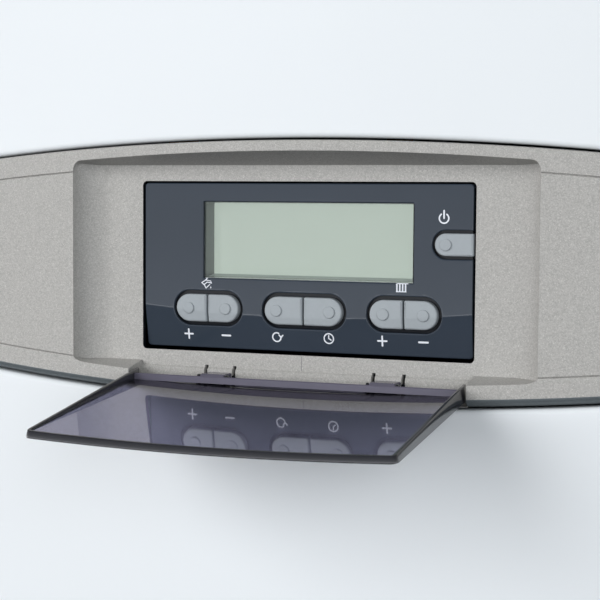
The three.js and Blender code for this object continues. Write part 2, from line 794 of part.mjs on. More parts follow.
/** What the wells and button holes take out of the controller's front. */
function buttonCuts() {
  const cuts = [];
  const depths = [-controllerWall - 5, buttonProud + 3];
  const floor = controllerBody(-wellDepth, -5, -controllerDepth);
  for (const pair of pairs) {
    const centre = pairCentre(pair);
    const reach = (grow) => [centre - pair.width / 2 - grow, centre + pair.width / 2 + grow];
    const well = prismD(barOutline(reach(wellMargin), buttonHeight / 2 + wellMargin, -buttonFall, true, true), depths);
    const hole = barOutline(reach(runningGap), buttonHeight / 2 + runningGap, -buttonFall, true, true);
    cuts.push(well.subtract(floor), prismD(hole, depths));
  }
  const beyond = [powerX[0] - runningGap, powerX[1] + 10];
  cuts.push(prismD(barOutline(beyond, powerHeight / 2 + runningGap, powerLift, true, false), depths));
  return join(...cuts);
}

function controllerCase() {
  const flangeHalf = controllerWidth / 2 + controllerFlange;
  const flangeRise = controllerHeight / 2 + controllerFlange;
  const flangeDepths = [-bandSkin - fit - 2, -bandSkin - fit];
  let body = controllerBody(0, 0, -controllerDepth);
  body = body.add(block([-flangeHalf, flangeHalf], flangeDepths, [-flangeRise, flangeRise]));
  body = body.subtract(controllerBody(-controllerWall, controllerWall, -controllerDepth - 10));
  const tube = controllerWall - displayRebate;
  body = body.add(displayBlock(tube, [-displayDepth, -displayPane]));
  body = body.subtract(displayBlock(0, [-displayPane - fit, 5]));
  body = body.subtract(displayBlock(-displayRebate, [-displayDepth - 1, 0]));
  return body.subtract(buttonCuts());
}

const boardDepth = displayDepth + 9;
const switchHeight = 2;

/** One button: the cap that shows, a hidden rim that keeps it in and a stem to its switch. */
function button([x0, x1], [holeFrom, holeTo], halfHeight, z, roundLeft, roundRight, discX, disc) {
  const proud = controllerBody(buttonProud, -5, -controllerWall - 6);
  const cap = prismD(barOutline([x0, x1], halfHeight, z, roundLeft, roundRight), [-controllerWall - 2.6, 5]);
  const rimDepths = [-controllerWall - 2.4, -controllerWall - 1.2];
  const rim = prismD(barOutline([holeFrom, holeTo], halfHeight + buttonRim, z, roundLeft, roundRight), rimDepths);
  const stemBack = -(boardDepth - switchHeight - buttonTravel - fit);
  const stem = rodD(1.5, discX, [stemBack, -controllerWall - 2], z, 6);
  const spot = rodD(discRadius, discX, [-controllerWall, buttonProud + discProud], z, 12);
  return join(cap.intersect(proud), rim, stem).add(disc ? spot : cap.intersect(proud));
}

function pairButton(pair, side) {
  const centre = pairCentre(pair);
  const half = pair.width / 2;
  const inner = centre + (side * buttonSplit) / 2;
  const outer = centre + side * half;
  const rimOuter = centre + side * (half + buttonRim);
  const span = side < 0 ? [outer, inner] : [inner, outer];
  const rimSpan = side < 0 ? [rimOuter, inner] : [inner, rimOuter];
  return button(span, rimSpan, buttonHeight / 2, -buttonFall, side < 0, side > 0, centre + side * pair.disc, true);
}

function powerButton() {
  const rimSpan = [powerX[0] - buttonRim, powerX[1] - controllerWall - fit];
  return button(powerX, rimSpan, powerHeight / 2, powerLift, true, false, powerX[0] + powerHeight / 2, true);
}

function displayWindow() {
  return displayBlock(-fit, [-displayPane, 0]);
}

const lcdDepths = [-boardDepth + fit, -displayDepth - fit];

function lcdModule() {
  return displayBlock(controllerWall, lcdDepths);
}

const boardHalf = controllerWidth / 2 - controllerWall - runningGap;
const boardRise = controllerHeight / 2 - controllerWall - runningGap;

function controllerBoard() {
  const depths = [-boardDepth - boardThickness, -boardDepth];
  let board = block([-boardHalf, boardHalf], depths, [-boardRise, boardRise]);
  const places = pairs.flatMap((pair) => [-1, 1].map((side) => [pairCentre(pair) + side * pair.disc, -buttonFall]));
  places.push([powerX[0] + powerHeight / 2, powerLift]);
  for (const [x, z] of places) {
    board = board.add(block([x - 3, x + 3], [-boardDepth - 1, -boardDepth + switchHeight], [z - 3, z + 3]));
  }
  return board;
}

function controllerBack() {
  const depths = [-controllerDepth, -controllerDepth + controllerWall];
  let back = block([-boardHalf, boardHalf], depths, [-boardRise, boardRise]);
  for (const x of [-boardHalf + 5, boardHalf - 5]) {
    for (const z of [-boardRise + 5, boardRise - 5]) {
      back = back.add(rodD(3, x, [-controllerDepth + 1, -boardDepth - boardThickness - fit], z, 12));
    }
  }
  return back;
}

/** The flap in its closed place about its pivot: a bowed plate with rims and a rounded root. */
function flapBody() {
  const half = flapWidth / 2;
  const lead = (x) => flapRootRadius + flapBow * (1 - (x / half) ** 2);
  const upperWall = (x, depth) => {
    const rise = recessRise - sag(recessArcRadius, x) - recessFloorRise;
    return recessFloorRise + (rise * depth) / bandLead;
  };
  const tip = (x, ahead) => flapPivotFall + upperWall(x, flapPivotDepth + ahead) - flapTopGap;
  const turn = steps(0, Math.PI / 2, 4);
  const plate = loft(steps(-half, half, 8).map((x) => {
    const outer = turn.map((angle) => [x, lead(x) * Math.cos(angle), -flapRootRadius * Math.sin(angle)]);
    const inside = turn.map((angle) => [
      x, (lead(x) - flapPlate) * Math.cos(angle), -(flapRootRadius - flapPlate) * Math.sin(angle)]).reverse();
    const plateBack = lead(x) - flapPlate;
    return [[x, lead(x), tip(x, lead(x))], ...outer, ...inside, [x, plateBack, tip(x, plateBack)]];
  }), false);
  const topRim = loft(steps(-half, half, 8).map((x) => {
    const rimBack = lead(x) - flapRimTip;
    const foot = tip(x, rimBack) - flapRimTip;
    return [[x, lead(x), tip(x, lead(x))], [x, lead(x), foot], [x, rimBack, foot], [x, rimBack, tip(x, rimBack)]];
  }));
  const rimBackRoot = flapRootRadius - flapRimRoot;
  const rimFoot = -Math.sqrt(flapRootRadius ** 2 - rimBackRoot ** 2);
  const profile = [
    [flapRootRadius, tip(half, flapRootRadius)],
    ...turn.map((angle) => [flapRootRadius * Math.cos(angle), -flapRootRadius * Math.sin(angle)]),
    [rimBackRoot, rimFoot],
    [flapRootRadius - flapRimTip, tip(half, flapRootRadius - flapRimTip)],
  ];
  let flap = join(plate, topRim, prismX(profile, [-half, flapRim - half]), prismX(profile, [half - flapRim, half]));
  const ribFoot = lugRadius + 4 * fit;
  const ribFront = flapRootRadius - flapPlate / 2;
  flap = flap.add(block([1 - half, half - 1], [ribFront - flapPlate / 2 - ribReach, ribFront], [ribFoot, ribFoot + ribThickness]));
  for (const x of lugPlaces) {
    const room = lugHalf + 0.5;
    const reach = lugRadius + 2 * fit;
    flap = flap.subtract(block([x - room, x + room], [-20, 20], [-20, reach]));
    for (const side of [-1, 1]) {
      const ear = [x + side * room, x + side * (room + hingeEar)].sort((a, b) => a - b);
      flap = flap.add(rodX(flapRootRadius - flapPlate + runningGap, ear, 0, 0, 14));
    }
    flap = flap.add(rodX(hingePinRadius, [x - room - hingeEar, x + room + hingeEar], 0, 0, 8));
  }
  return flap;
}

const controlBoxBack = rimBack - fit - sheet - controlBoxDepth;

/** The control box: a plate that the band seats on, a tray behind it and side straps. */
function controlBox() {
  const plateDepths = [rimBack - fit - sheet, rimBack - fit];
  const outer = [-controlBoxHalfWidth, controlBoxHalfWidth];
  const high = controlBoxHeight / 2;
  let box = prismD(bandOutline(-bandGap), plateDepths);
  box = box.add(block(outer, [controlBoxBack, plateDepths[1]], [-high, high]));
  const inner = [controlBoxWall - controlBoxHalfWidth, controlBoxHalfWidth - controlBoxWall];
  const innerHeights = [controlBoxWall - high, high - controlBoxWall];
  box = box.subtract(block(inner, [controlBoxBack + controlBoxWall, plateDepths[1] + 5], innerHeights));
  const strapFront = railDepth - sheet - fit - faceDepth;
  for (const side of [-1, 1]) {
    const strap = [side * (controlBoxHalfWidth - 1), side * (innerHalfWidth - fit)].sort((a, b) => a - b);
    box = box.add(block(strap, [strapFront - sheet, strapFront], [-high / 2, high / 2]));
    for (const z of [-high + 12, high - 12]) {
      const boss = [controlBoxBack + 1, controlBoxBack + controlBoxWall + standoff];
      box = box.add(rodD(4, side * (controlBoxHalfWidth - 24), boss, z, 12));
    }
  }
  return box;
}

function mainBoard() {
  const back = controlBoxBack + controlBoxWall + standoff + fit;
  const half = controlBoxHalfWidth - controlBoxWall - 6;
  const high = controlBoxHeight / 2 - controlBoxWall - 4;
  const face = back + boardThickness;
  let board = block([-half, half], [back, face], [-high, high]);
  const seat = face - boardThickness / 2;
  const place = (from, width, height, heights) => block([from, from + width], [seat, face + height], heights);
  board = board.add(place(boardEdge - half, transformerWidth, transformerHeight, [-transformerFall, transformerRise]));
  const terminals = [half - terminalInset - terminalWidth, fit * 10 - high];
  board = board.add(place(terminals[0], terminalWidth, terminalHeight, [terminals[1], terminals[1] + terminalRise]));
  for (const order of [0, 1, 2]) {
    board = board.add(place(-order * relayPitch, relayWidth, relayHeight, [relayFoot, relayFoot + relayRise]));
  }
  return board.add(rodD(capacitorRadius, capacitorX, [seat, face + capacitorHeight], capacitorRadius + fit, 16));
}

piece(controls, 'control_fascia', controlFascia(), finishes.bandSilver);
piece(controls, 'control_box', controlBox(), finishes.blackPlastic);
piece(controls, 'main_board', mainBoard(), finishes.circuitBoard);
piece(controls, 'controller_case', controllerCase(), finishes.greyPlastic);
piece(controls, 'controller_back', controllerBack(), finishes.blackPlastic);
piece(controls, 'display_window', displayWindow(), finishes.clearGlass);
piece(controls, 'lcd_module', lcdModule(), finishes.displayGlass);
piece(controls, 'controller_board', controllerBoard(), finishes.circuitBoard);
piece(controls, 'button_power', powerButton(), finishes.buttonGrey);
for (const pair of pairs) {
  piece(controls, pair.names[0], pairButton(pair, -1), finishes.buttonGrey);
  piece(controls, pair.names[1], pairButton(pair, 1), finishes.buttonGrey);
}
const flapMesh = piece(controls, 'flap', flapBody(), finishes.smokedGlass);
flapMesh.position.set(0, -flapPivotDepth, -flapPivotFall);
flapMesh.rotation.x = THREE.MathUtils.degToRad(flapOpenAngle);

// ---------------------------------------------------------------- combustion side

const combustion = new THREE.Group();
boiler.add(combustion);

const airBoxHalf = halfWidth - sideFlange - sheet - fit;
const airBoxTop = top - sheet - fit;
const airBoxBottom = airBoxTop - airBoxHeight;
const airBoxFront = airBoxBack + airBoxDepth;
const waterX = exchangerWidth / 2 + pipeStandoff;
const pipeShift = waterX - 2 * connectorPitch; // water pipes outside the outer connectors
const chamberBottom = airBoxBottom + airBoxWall + burnerZone;
const chamberTop = chamberBottom + chamberHeight;
const chamberDepths = [airBoxInside, airBoxInside + chamberDepth];
const chamberMiddle = airBoxInside + chamberDepth / 2;
const exchangerBottom = chamberTop + fit;
const exchangerTop = exchangerBottom + exchangerHeight;
const hoodBottom = exchangerTop + fit;
const fanTop = airBoxTop - airBoxWall - fit;
const fanOutlet = flueBore;
const fanX = fanOutlet / 2 - fanRadius - fanSpread;
const fanZ = fanTop - fanRadius - fanSpread - 2;
const railZ = chamberBottom - burnerBarHeight + 2 * gasRailRadius;
const gasRailDepth = chamberDepths[1] - gasRailRadius;

function airBox() {
  const outer = block([-airBoxHalf, airBoxHalf], [airBoxBack, airBoxFront], [airBoxBottom, airBoxTop]);
  const inside = airBoxHalf - airBoxWall;
  const depths = [airBoxBack + airBoxWall, airBoxFront + 5];
  const hollow = block([-inside, inside], depths, [airBoxBottom + airBoxWall, airBoxTop - airBoxWall]);
  let box = outer.subtract(hollow);
  box = box.subtract(rodZ(ductHole, 0, fanDepth, [airBoxTop - 5, airBoxTop + 5], 28));
  const floor = [airBoxBottom - 5, airBoxBottom + 5];
  for (const side of [-1, 1]) {
    box = box.subtract(rodZ(pipeRadius + runningGap, side * waterX, pipeDepth, floor, 16));
    const tab = [side * (airBoxHalf - 1), side * (innerHalfWidth - fit)].sort((a, b) => a - b);
    const tabFront = railDepth - sheet - fit;
    const tabHeights = [airBoxBottom + airBoxHeight / 4, airBoxTop - airBoxHeight / 4];
    box = box.add(block(tab, [tabFront - sheet, tabFront], tabHeights));
  }
  return box.subtract(rodZ(gasPipeRadius + runningGap, 0, gasRailDepth, floor, 16));
}

const coverDepths = [airBoxFront + fit, airBoxFront + fit + sheet];
const sightZ = chamberBottom + chamberHeight / 4;

function airBoxCover() {
  const plate = block([-airBoxHalf, airBoxHalf], coverDepths, [airBoxBottom, airBoxTop]);
  return plate.subtract(rodD(sightRadius + fit, 0, [airBoxFront - 5, airBoxFront + 9], sightZ, 16));
}

function sightGlass() {
  const plug = rodD(sightRadius, 0, [airBoxFront, coverDepths[1] + 1], sightZ, 16);
  return plug.add(rodD(sightRadius + 4, 0, [coverDepths[1] + fit, coverDepths[1] + fit + 2], sightZ, 16));
}

function combustionChamber() {
  const half = chamberWidth / 2;
  const outer = block([-half, half], chamberDepths, [chamberBottom, chamberTop]);
  const inner = block([chamberWall - half, half - chamberWall],
    [chamberDepths[0] + chamberWall, chamberDepths[1] - chamberWall], [chamberBottom - 1, chamberTop + 1]);
  const front = [chamberDepths[1] - chamberWall - 5, chamberDepths[1] + 5];
  const sight = rodD(sightRadius, 0, front, sightZ, 16);
  const electrode = rodD(electrodeRadius + fit, electrodeX, front, sightZ, 16);
  return outer.subtract(inner).subtract(sight).subtract(electrode);
}

function sparkElectrode() {
  const ceramic = [chamberDepths[1] - chamberWall - 6, chamberDepths[1] + 10];
  const body = rodD(electrodeRadius, electrodeX, ceramic, sightZ, 16);
  const wire = rodD(1.2, electrodeX, [ceramic[0] - 30, ceramic[1] + 6], sightZ, 8);
  const tip = rodZ(1.2, electrodeX, ceramic[0] - 29, [sightZ - 12, sightZ], 8);
  return join(body, wire, tip);
}

const barDepths = [chamberDepths[0] + chamberWall + 4, chamberDepths[1] - chamberWall - 4];
const burnerBars = steps(-(burnerBarCount - 1) / 2, (burnerBarCount - 1) / 2, burnerBarCount - 1)
  .map((place) => place * burnerPitch);

function burner() {
  const half = chamberWidth / 2;
  const flangeTop = chamberBottom - fit;
  const rim = block([-half, half], chamberDepths, [flangeTop - burnerFlange, flangeTop]);
  const gap = block([-half + 8, half - 8], barDepths, [flangeTop - burnerFlange - 1, flangeTop + 1]);
  const bridgeDepths = [chamberMiddle - 6, chamberMiddle + 6];
  const bridge = block([-half + 1, half - 1], bridgeDepths, [flangeTop - burnerFlange, flangeTop]);
  const bars = burnerBars.map((x) =>
    block([x - burnerBar / 2, x + burnerBar / 2], barDepths, [chamberBottom - burnerBarHeight, chamberBottom + 6]));
  return join(rim.subtract(gap), bridge, ...bars);
}

function gasManifold() {
  const half = ((burnerBarCount - 1) / 2) * burnerPitch + 10;
  const rail = rodX(gasRailRadius, [-half, half], gasRailDepth, railZ - 2 * gasRailRadius, 16);
  const nozzles = burnerBars.map((x) =>
    rodD(2.5, x, [barDepths[1] + fit, gasRailDepth], railZ - 2 * gasRailRadius, 8));
  return join(rail, ...nozzles);
}

function heatExchanger() {
  const half = exchangerWidth / 2;
  const depths = [chamberMiddle - exchangerDepth / 2, chamberMiddle + exchangerDepth / 2];
  let core = block([-half, half], depths, [exchangerBottom, exchangerTop]);
  const count = Math.floor((exchangerWidth - 2 * exchangerSlotPitch) / exchangerSlotPitch);
  for (const place of steps(-count / 2, count / 2, count)) {
    const x = place * exchangerSlotPitch;
    const slot = [x - exchangerSlot / 2, x + exchangerSlot / 2];
    const slotDepths = [depths[0] + 10, depths[1] - 10];
    core = core.subtract(block(slot, slotDepths, [exchangerBottom - 1, exchangerTop + 1]));
  }
  return core;
}

function smokeHood() {
  const shape = (inset, open) => {
    const back = airBoxInside + inset;
    const front = chamberMiddle + exchangerDepth / 2 - inset;
    const upperFront = airBoxInside + hoodUpperDepth - inset;
    const bend = hoodBottom + hoodLower - inset;
    return prismX([
      [back, hoodBottom - open],
      [front, hoodBottom - open],
      [front, bend],
      [upperFront, bend + 8],
      [upperFront, fanZ + fanMouth + 14 - inset],
      [back, fanZ + fanMouth + 14 - inset],
    ], [inset - exchangerWidth / 2, exchangerWidth / 2 - inset]);
  };
  const mouth = rodD(fanMouth, fanX, [airBoxInside + hoodUpperDepth - 6, airBoxInside + hoodUpperDepth + 4], fanZ, 16);
  return shape(0, 0).subtract(shape(hoodThickness, 1)).subtract(mouth);
}

/** The fan's spiral outline with its outlet up, drawn in by a wall. */
function volute(inset) {
  const turn = steps(Math.PI / 2, 2 * Math.PI, 20);
  const spiral = turn.map((angle) => {
    const radius = fanRadius + (fanSpread * (angle - Math.PI / 2)) / (1.5 * Math.PI) - inset;
    return [fanX + radius * Math.cos(angle), fanZ + radius * Math.sin(angle)];
  });
  const left = -fanOutlet / 2 + inset;
  const right = fanX + fanRadius + fanSpread - inset;
  const tongue = fanZ + Math.sqrt(Math.max(1, fanRadius ** 2 - (left - fanX) ** 2)) - inset;
  return [...spiral, [right, fanTop - inset], [left, fanTop - inset], [left, Math.max(tongue, fanZ)]];
}

function fanHousing() {
  const depths = [fanFront - fanThickness, fanFront];
  const inner = [depths[0] + fanWall, depths[1] - fanWall];
  let housing = prismD(volute(0), depths).subtract(prismD(volute(fanWall), inner));
  housing = housing.subtract(rodD(fanMouth, fanX, [depths[0] - 1, inner[0] + 1], fanZ, 16));
  housing = housing.subtract(rodD(fanShaft + runningGap, fanX, [inner[1] - 1, depths[1] + 1], fanZ, 16));
  return housing.subtract(rodZ(flueBore / 2 - fanWall, 0, fanDepth, [fanTop - 5, fanTop + 5], 24));
}

function fanImpeller() {
  const back = fanFront - fanWall - 3;
  const disc = rodD(impellerRadius, fanX, [back - 2, back], fanZ, 16);
  const hub = rodD(fanShaft + 5, fanX, [back - 24, back], fanZ, 16);
  const shaft = rodD(fanShaft, fanX, [back - 4, fanFront + shaftEngagement], fanZ, 16);
  const blades = steps(0, fanBladeCount - 1, fanBladeCount - 1).map((i) => {
    const blade = block([impellerRadius - impellerBlade, impellerRadius - 1], [back - 40, back - 1], [-1, 1]);
    return blade.rotate([0, (360 * i) / fanBladeCount, 0]).translate([fanX, 0, fanZ]);
  });
  const ringOuter = rodD(impellerRadius, fanX, [back - 42, back - 39], fanZ, 16);
  const ring = ringOuter.subtract(rodD(impellerRadius - impellerBlade, fanX, [back - 43, back - 38], fanZ, 16));
  return join(disc, hub, shaft, ring, ...blades);
}

function fanMotor() {
  const body = rodD(fanMotorRadius, fanX, [fanFront + fit, fanFront + fit + fanMotorLength], fanZ, 16);
  return body.subtract(rodD(fanShaft + runningGap, fanX, [fanFront, fanFront + shaftEngagement + 2], fanZ, 16));
}

function flueTurret() {
  const inner = flueBore / 2 + flueTube;
  const outer = airDuct / 2;
  const seat = top + fit;
  const end = top + flueHeight;
  const tube = (radius, wall, from) =>
    rodZ(radius, 0, fanDepth, [from, end], 28).subtract(rodZ(radius - wall, 0, fanDepth, [from - 1, end + 1], 28));
  const flange = rodZ(outer + flueFlange, 0, fanDepth, [seat, seat + flueRib], 28)
    .subtract(rodZ(outer - flueTube, 0, fanDepth, [seat - 1, seat + 5], 28));
  const rib = block([inner - flueTube / 2, outer - flueTube / 2], [-flueRib / 2, flueRib / 2], [seat + 5, seat + 25]);
  const ribs = [90, 210, 330].map((angle) => rib.rotate([0, 0, angle]).translate([0, -fanDepth, 0]));
  return join(tube(outer, flueTube, seat), tube(inner, flueTube, fanTop + fit), flange, ...ribs);
}

/** A square ring with rounded corners at one depth, about the vessel's middle. */
function vesselRing(size, corner, depth) {
  const reach = size / 2 - corner;
  const quarter = steps(0, Math.PI / 2, 4);
  return [0, 1, 2, 3].flatMap((turn) => quarter.map((angle) => {
    const direction = angle + (turn * Math.PI) / 2;
    const signX = turn === 0 || turn === 3 ? 1 : -1;
    const signZ = turn < 2 ? 1 : -1;
    const x = signX * reach + corner * Math.cos(direction);
    return [x, depth, vesselZ + signZ * reach + corner * Math.sin(direction)];
  }));
}

const vesselZ = top - vesselTop - vesselSize / 2;
const vesselBack = framePanel + fit;
const vesselPipeX = 2 * connectorPitch - 10;
const vesselPipeDepth = vesselBack + vesselDepth / 2;
const vesselFoot = vesselZ - vesselSize / 2 - vesselStub;

function expansionVessel() {
  const shell = loft([
    vesselRing(vesselSize - 60, vesselCorner - 10, vesselBack),
    vesselRing(vesselSize - 14, vesselCorner, vesselBack + vesselDepth * 0.22),
    vesselRing(vesselSize, vesselCorner, vesselBack + vesselDepth * 0.5),
    vesselRing(vesselSize - 14, vesselCorner, vesselBack + vesselDepth * 0.78),
    vesselRing(vesselSize - 60, vesselCorner - 10, vesselBack + vesselDepth),
  ]);
  const stubX = Math.min(vesselPipeX, vesselSize / 2 - vesselCorner);
  return shell.add(rodZ(vesselPipeRadius + 2, stubX, vesselPipeDepth, [vesselFoot, vesselZ], 12));
}

piece(combustion, 'air_box', airBox(), finishes.galvanised);
piece(combustion, 'air_box_cover', airBoxCover(), finishes.galvanised);
piece(combustion, 'sight_glass', sightGlass(), finishes.clearGlass);
piece(combustion, 'combustion_chamber', combustionChamber(), finishes.aluminium);
piece(combustion, 'spark_electrode', sparkElectrode(), finishes.whiteDial);
piece(combustion, 'burner', burner(), finishes.steel);
piece(combustion, 'gas_manifold', gasManifold(), finishes.aluminium);
piece(combustion, 'heat_exchanger', heatExchanger(), finishes.copper);
piece(combustion, 'smoke_hood', smokeHood(), finishes.galvanised);
piece(combustion, 'fan_housing', fanHousing(), finishes.aluminium);
piece(combustion, 'fan_impeller', fanImpeller(), finishes.steel);
piece(combustion, 'fan_motor', fanMotor(), finishes.blackPlastic);
piece(combustion, 'flue_turret', flueTurret(), finishes.whitePaint);
piece(combustion, 'expansion_vessel', expansionVessel(), finishes.redPaint);

// ---------------------------------------------------------------- hydraulic side

const hydraulics = new THREE.Group();
boiler.add(hydraulics);

const manifoldX = 2 * connectorPitch + pipeShift / 2;
const manifoldBottom = bottom + manifoldLift;
const manifoldTop = manifoldBottom + manifoldHeight;
const manifoldFront = pipeDepth + 16;
const manifoldBack = manifoldFront - manifoldDepth;
const plateBottom = bottom + plateExchangerLift;
const plateTop = plateBottom + plateExchangerHeight;
const plateEnd = manifoldX - manifoldWidth / 2 - fit;
const plateBack = connectorDepth - plateExchangerDepth / 7;
const gasValveBack = plateBack + plateExchangerDepth + 4;
const gasValveFront = gasValveBack + gasValveDepth;
const gasInletDepth = gasValveBack + gasValveDepth / 2;
const gasInletZ = bottom + manifoldLift + 18;
const gasValveBottom = gasInletZ + 2 * gasPipeRadius + 18;
const gasValveTop = gasValveBottom + gasValveHeight;
const pumpZ = manifoldBottom + pumpRadius;

function manifold(side) {
  const span = [side * manifoldX - manifoldWidth / 2, side * manifoldX + manifoldWidth / 2];
  return block(span, [manifoldBack, manifoldFront], [manifoldBottom, manifoldTop]);
}

function returnManifold() {
  const depths = [manifoldFront - 1, manifoldFront + pumpDepth];
  const housing = rodD(pumpRadius, manifoldX, depths, pumpZ, 24);
  const cavityDepths = [manifoldFront + pumpWall, manifoldFront + pumpDepth + 1];
  return manifold(1).add(housing).subtract(rodD(pumpRadius - pumpWall, manifoldX, cavityDepths, pumpZ, 24));
}

function pumpMotor() {
  const back = manifoldFront + pumpDepth + fit;
  const body = rodD(pumpMotorRadius, manifoldX, [back, back + pumpMotorLength], pumpZ, 24);
  const cap = rodD(pumpMotorRadius / 3, manifoldX, [back + pumpMotorLength - 1, back + pumpMotorLength + 3], pumpZ, 16);
  const terminal = [manifoldX - 22, manifoldX + 22];
  const box = block(terminal, [back + 20, back + pumpMotorLength - 10], [pumpZ, pumpZ + pumpMotorRadius + 16]);
  const bore = rodD(pumpShaft + runningGap, manifoldX, [back - 1, back + shaftEngagement + 2], pumpZ, 16);
  return join(body, cap, box).subtract(bore);
}

function pumpImpeller() {
  const back = manifoldFront + pumpWall + 3;
  const front = manifoldFront + pumpDepth - 3;
  const wheel = rodD(pumpImpellerRadius, manifoldX, [back, back + 3], pumpZ, 24);
  const vanes = steps(0, 5, 5).map((i) => {
    const vane = block([pumpShaft - 2, pumpImpellerRadius - 2], [back + 2, front], [-1.2, 1.2]);
    return vane.rotate([0, 60 * i, 0]).translate([manifoldX, 0, pumpZ]);
  });
  const shaftEnd = manifoldFront + pumpDepth + fit + shaftEngagement;
  return join(wheel, rodD(pumpShaft, manifoldX, [back, shaftEnd], pumpZ, 16), ...vanes);
}

const safetyZ = manifoldBottom + manifoldHeight / 2;
const safetyX = -manifoldX - manifoldWidth / 2 - safetyBossLength;

function flowManifold() {
  const boss = rodX(safetyBossRadius, [safetyX, -manifoldX], connectorDepth, safetyZ, 20);
  const knobBore = rodX(spindleRadius + runningGap, [safetyX - 1, safetyX + shaftEngagement], connectorDepth, safetyZ, 16);
  const chamber = rodD(spindleDisc + runningGap, -manifoldX, [manifoldBack + 18, manifoldFront + 1], safetyZ, 20);
  return manifold(-1).add(boss).subtract(knobBore).subtract(chamber);
}

function safetyValveKnob() {
  const inner = safetyX - fit;
  const cap = rodX(safetyKnobRadius, [inner - safetyKnobLength, inner], connectorDepth, safetyZ, 8);
  return cap.add(rodX(spindleRadius, [inner - 2, safetyX + shaftEngagement - 2], connectorDepth, safetyZ, 16));
}

const spindleStart = manifoldBack + 24;

function diverterSpindle() {
  const rod = rodD(spindleRadius, -manifoldX, [spindleStart, spindleStart + spindleLength], safetyZ, 16);
  const discs = [0, 22].map((along) =>
    rodD(spindleDisc, -manifoldX, [spindleStart + along, spindleStart + along + 4], safetyZ, 20));
  return join(rod, ...discs);
}

function diverterMotor() {
  const depths = [manifoldFront + fit, manifoldFront + fit + diverterMotorDepth];
  const half = diverterMotorWidth / 2;
  const heights = [safetyZ - diverterMotorHeight / 2, safetyZ + diverterMotorHeight / 2];
  const body = block([-manifoldX - half, half - manifoldX], depths, heights);
  const boreEnd = spindleStart + spindleLength + diverterTravel + 2;
  return body.subtract(rodD(spindleRadius + runningGap, -manifoldX, [depths[0] - 1, boreEnd], safetyZ, 16));
}

function plateHeatExchanger() {
  const depths = [plateBack, plateBack + plateExchangerDepth];
  const port = block([-plateEnd, plateEnd], [depths[0] + 6, depths[1] - 6], [plateBottom + 14, manifoldTop - 12]);
  const core = block([6 - plateEnd, plateEnd - 6], depths, [plateBottom, plateTop]);
  const gaps = steps(1, plateCount, plateCount - 1).map((place) => {
    const at = depths[0] + (place * plateExchangerDepth) / (plateCount + 1);
    const frame = block([-plateEnd, plateEnd], [at - plateThickness / 2, at + plateThickness / 2],
      [plateBottom - 1, plateTop + 1]);
    return frame.subtract(block([10 - plateEnd, plateEnd - 10], [depths[0] - 1, depths[1] + 1],
      [plateBottom + 4, plateTop - 4]));
  });
  return gaps.reduce((whole, gap) => whole.subtract(gap), core).add(port);
}

function connector({ at, thread, bore }, end) {
  const x = at * connectorPitch;
  const low = bottom - connectorReach;
  const tube = rodZ(thread / 2, x, connectorDepth, [low, end], 18);
  const collarFrom = bottom + sheet + fit;
  const collar = rodZ(thread / 2 + collarWidth, x, connectorDepth, [collarFrom, collarFrom + collarHeight], 6);
  return tube.add(collar).subtract(rodZ(bore / 2, x, connectorDepth, [low - 1, end + 1], 14));
}

/** The gas inlet: its connector with the bent pipe up to the gas valve. */
function gasConnector(gas) {
  const start = bottom + sheet + fit + collarHeight;
  const elbow = pipe([
    [0, connectorDepth, start - 1],
    [0, connectorDepth, gasInletZ],
    [0, gasInletDepth, gasInletZ],
    [0, gasInletDepth, gasValveBottom - fit],
  ], gasPipeRadius, pipeWall);
  const cap = rodZ(gas.thread / 2, 0, connectorDepth, [start - 3, start], 24)
    .subtract(rodZ(gasPipeRadius - pipeWall / 2, 0, connectorDepth, [start - 4, start + 1], 12));
  return join(connector(gas, start - 1), cap, elbow);
}

/** The cold inlet: its connector with the body of the filling tap. */
function coldConnector(cold) {
  const floor = bottom + sheet + fit;
  const half = tapBody / 2;
  const body = block([tapX - half, tapX + half], [undersideDepth - half, undersideDepth + half], [floor, floor + tapBody]);
  const armDepths = [connectorDepth + cold.thread / 2 - 1, undersideDepth - half + 1];
  const arm = block([tapX - 7, tapX + 7], armDepths, [floor + 6, floor + 20]);
  const bore = rodZ(tapShaft + runningGap, tapX, undersideDepth, [floor - 1, floor + shaftEngagement + 2], 16);
  return join(connector(cold, plateBottom - fit), body, arm).subtract(bore);
}

function fillingTapKnob() {
  const collar = bottom - runningGap;
  const grip = rodZ(tapKnobRadius, tapX, undersideDepth, [collar - tapKnobHeight, collar], 24);
  const flutes = steps(0, 7, 7).map((i) => {
    const angle = (2 * Math.PI * i) / 8;
    const x = tapX + (tapKnobRadius + 2) * Math.cos(angle);
    const depth = undersideDepth + (tapKnobRadius + 2) * Math.sin(angle);
    return rodZ(4, x, depth, [collar - tapKnobHeight - 1, collar - 4], 10);
  });
  const shaft = rodZ(tapShaft, tapX, undersideDepth, [collar - 2, bottom + sheet + fit + shaftEngagement], 16);
  return flutes.reduce((whole, flute) => whole.subtract(flute), grip).add(shaft);
}

function pressureGauge() {
  const low = bottom - gaugeProud;
  const body = rodZ(gaugeRadius, gaugeX, undersideDepth, [low, bottom + gaugeHeight - gaugeProud], 24);
  const bezel = rodZ(gaugeRadius + gaugeWall, gaugeX, undersideDepth, [low, bottom - fit], 24);
  const dial = rodZ(gaugeRadius - gaugeWall, gaugeX, undersideDepth, [low - 1, bottom - 1], 24);
  const pivot = rodZ(1 + fit, gaugeX, undersideDepth, [low, bottom + 4], 10);
  return body.add(bezel).subtract(dial).subtract(pivot);
}

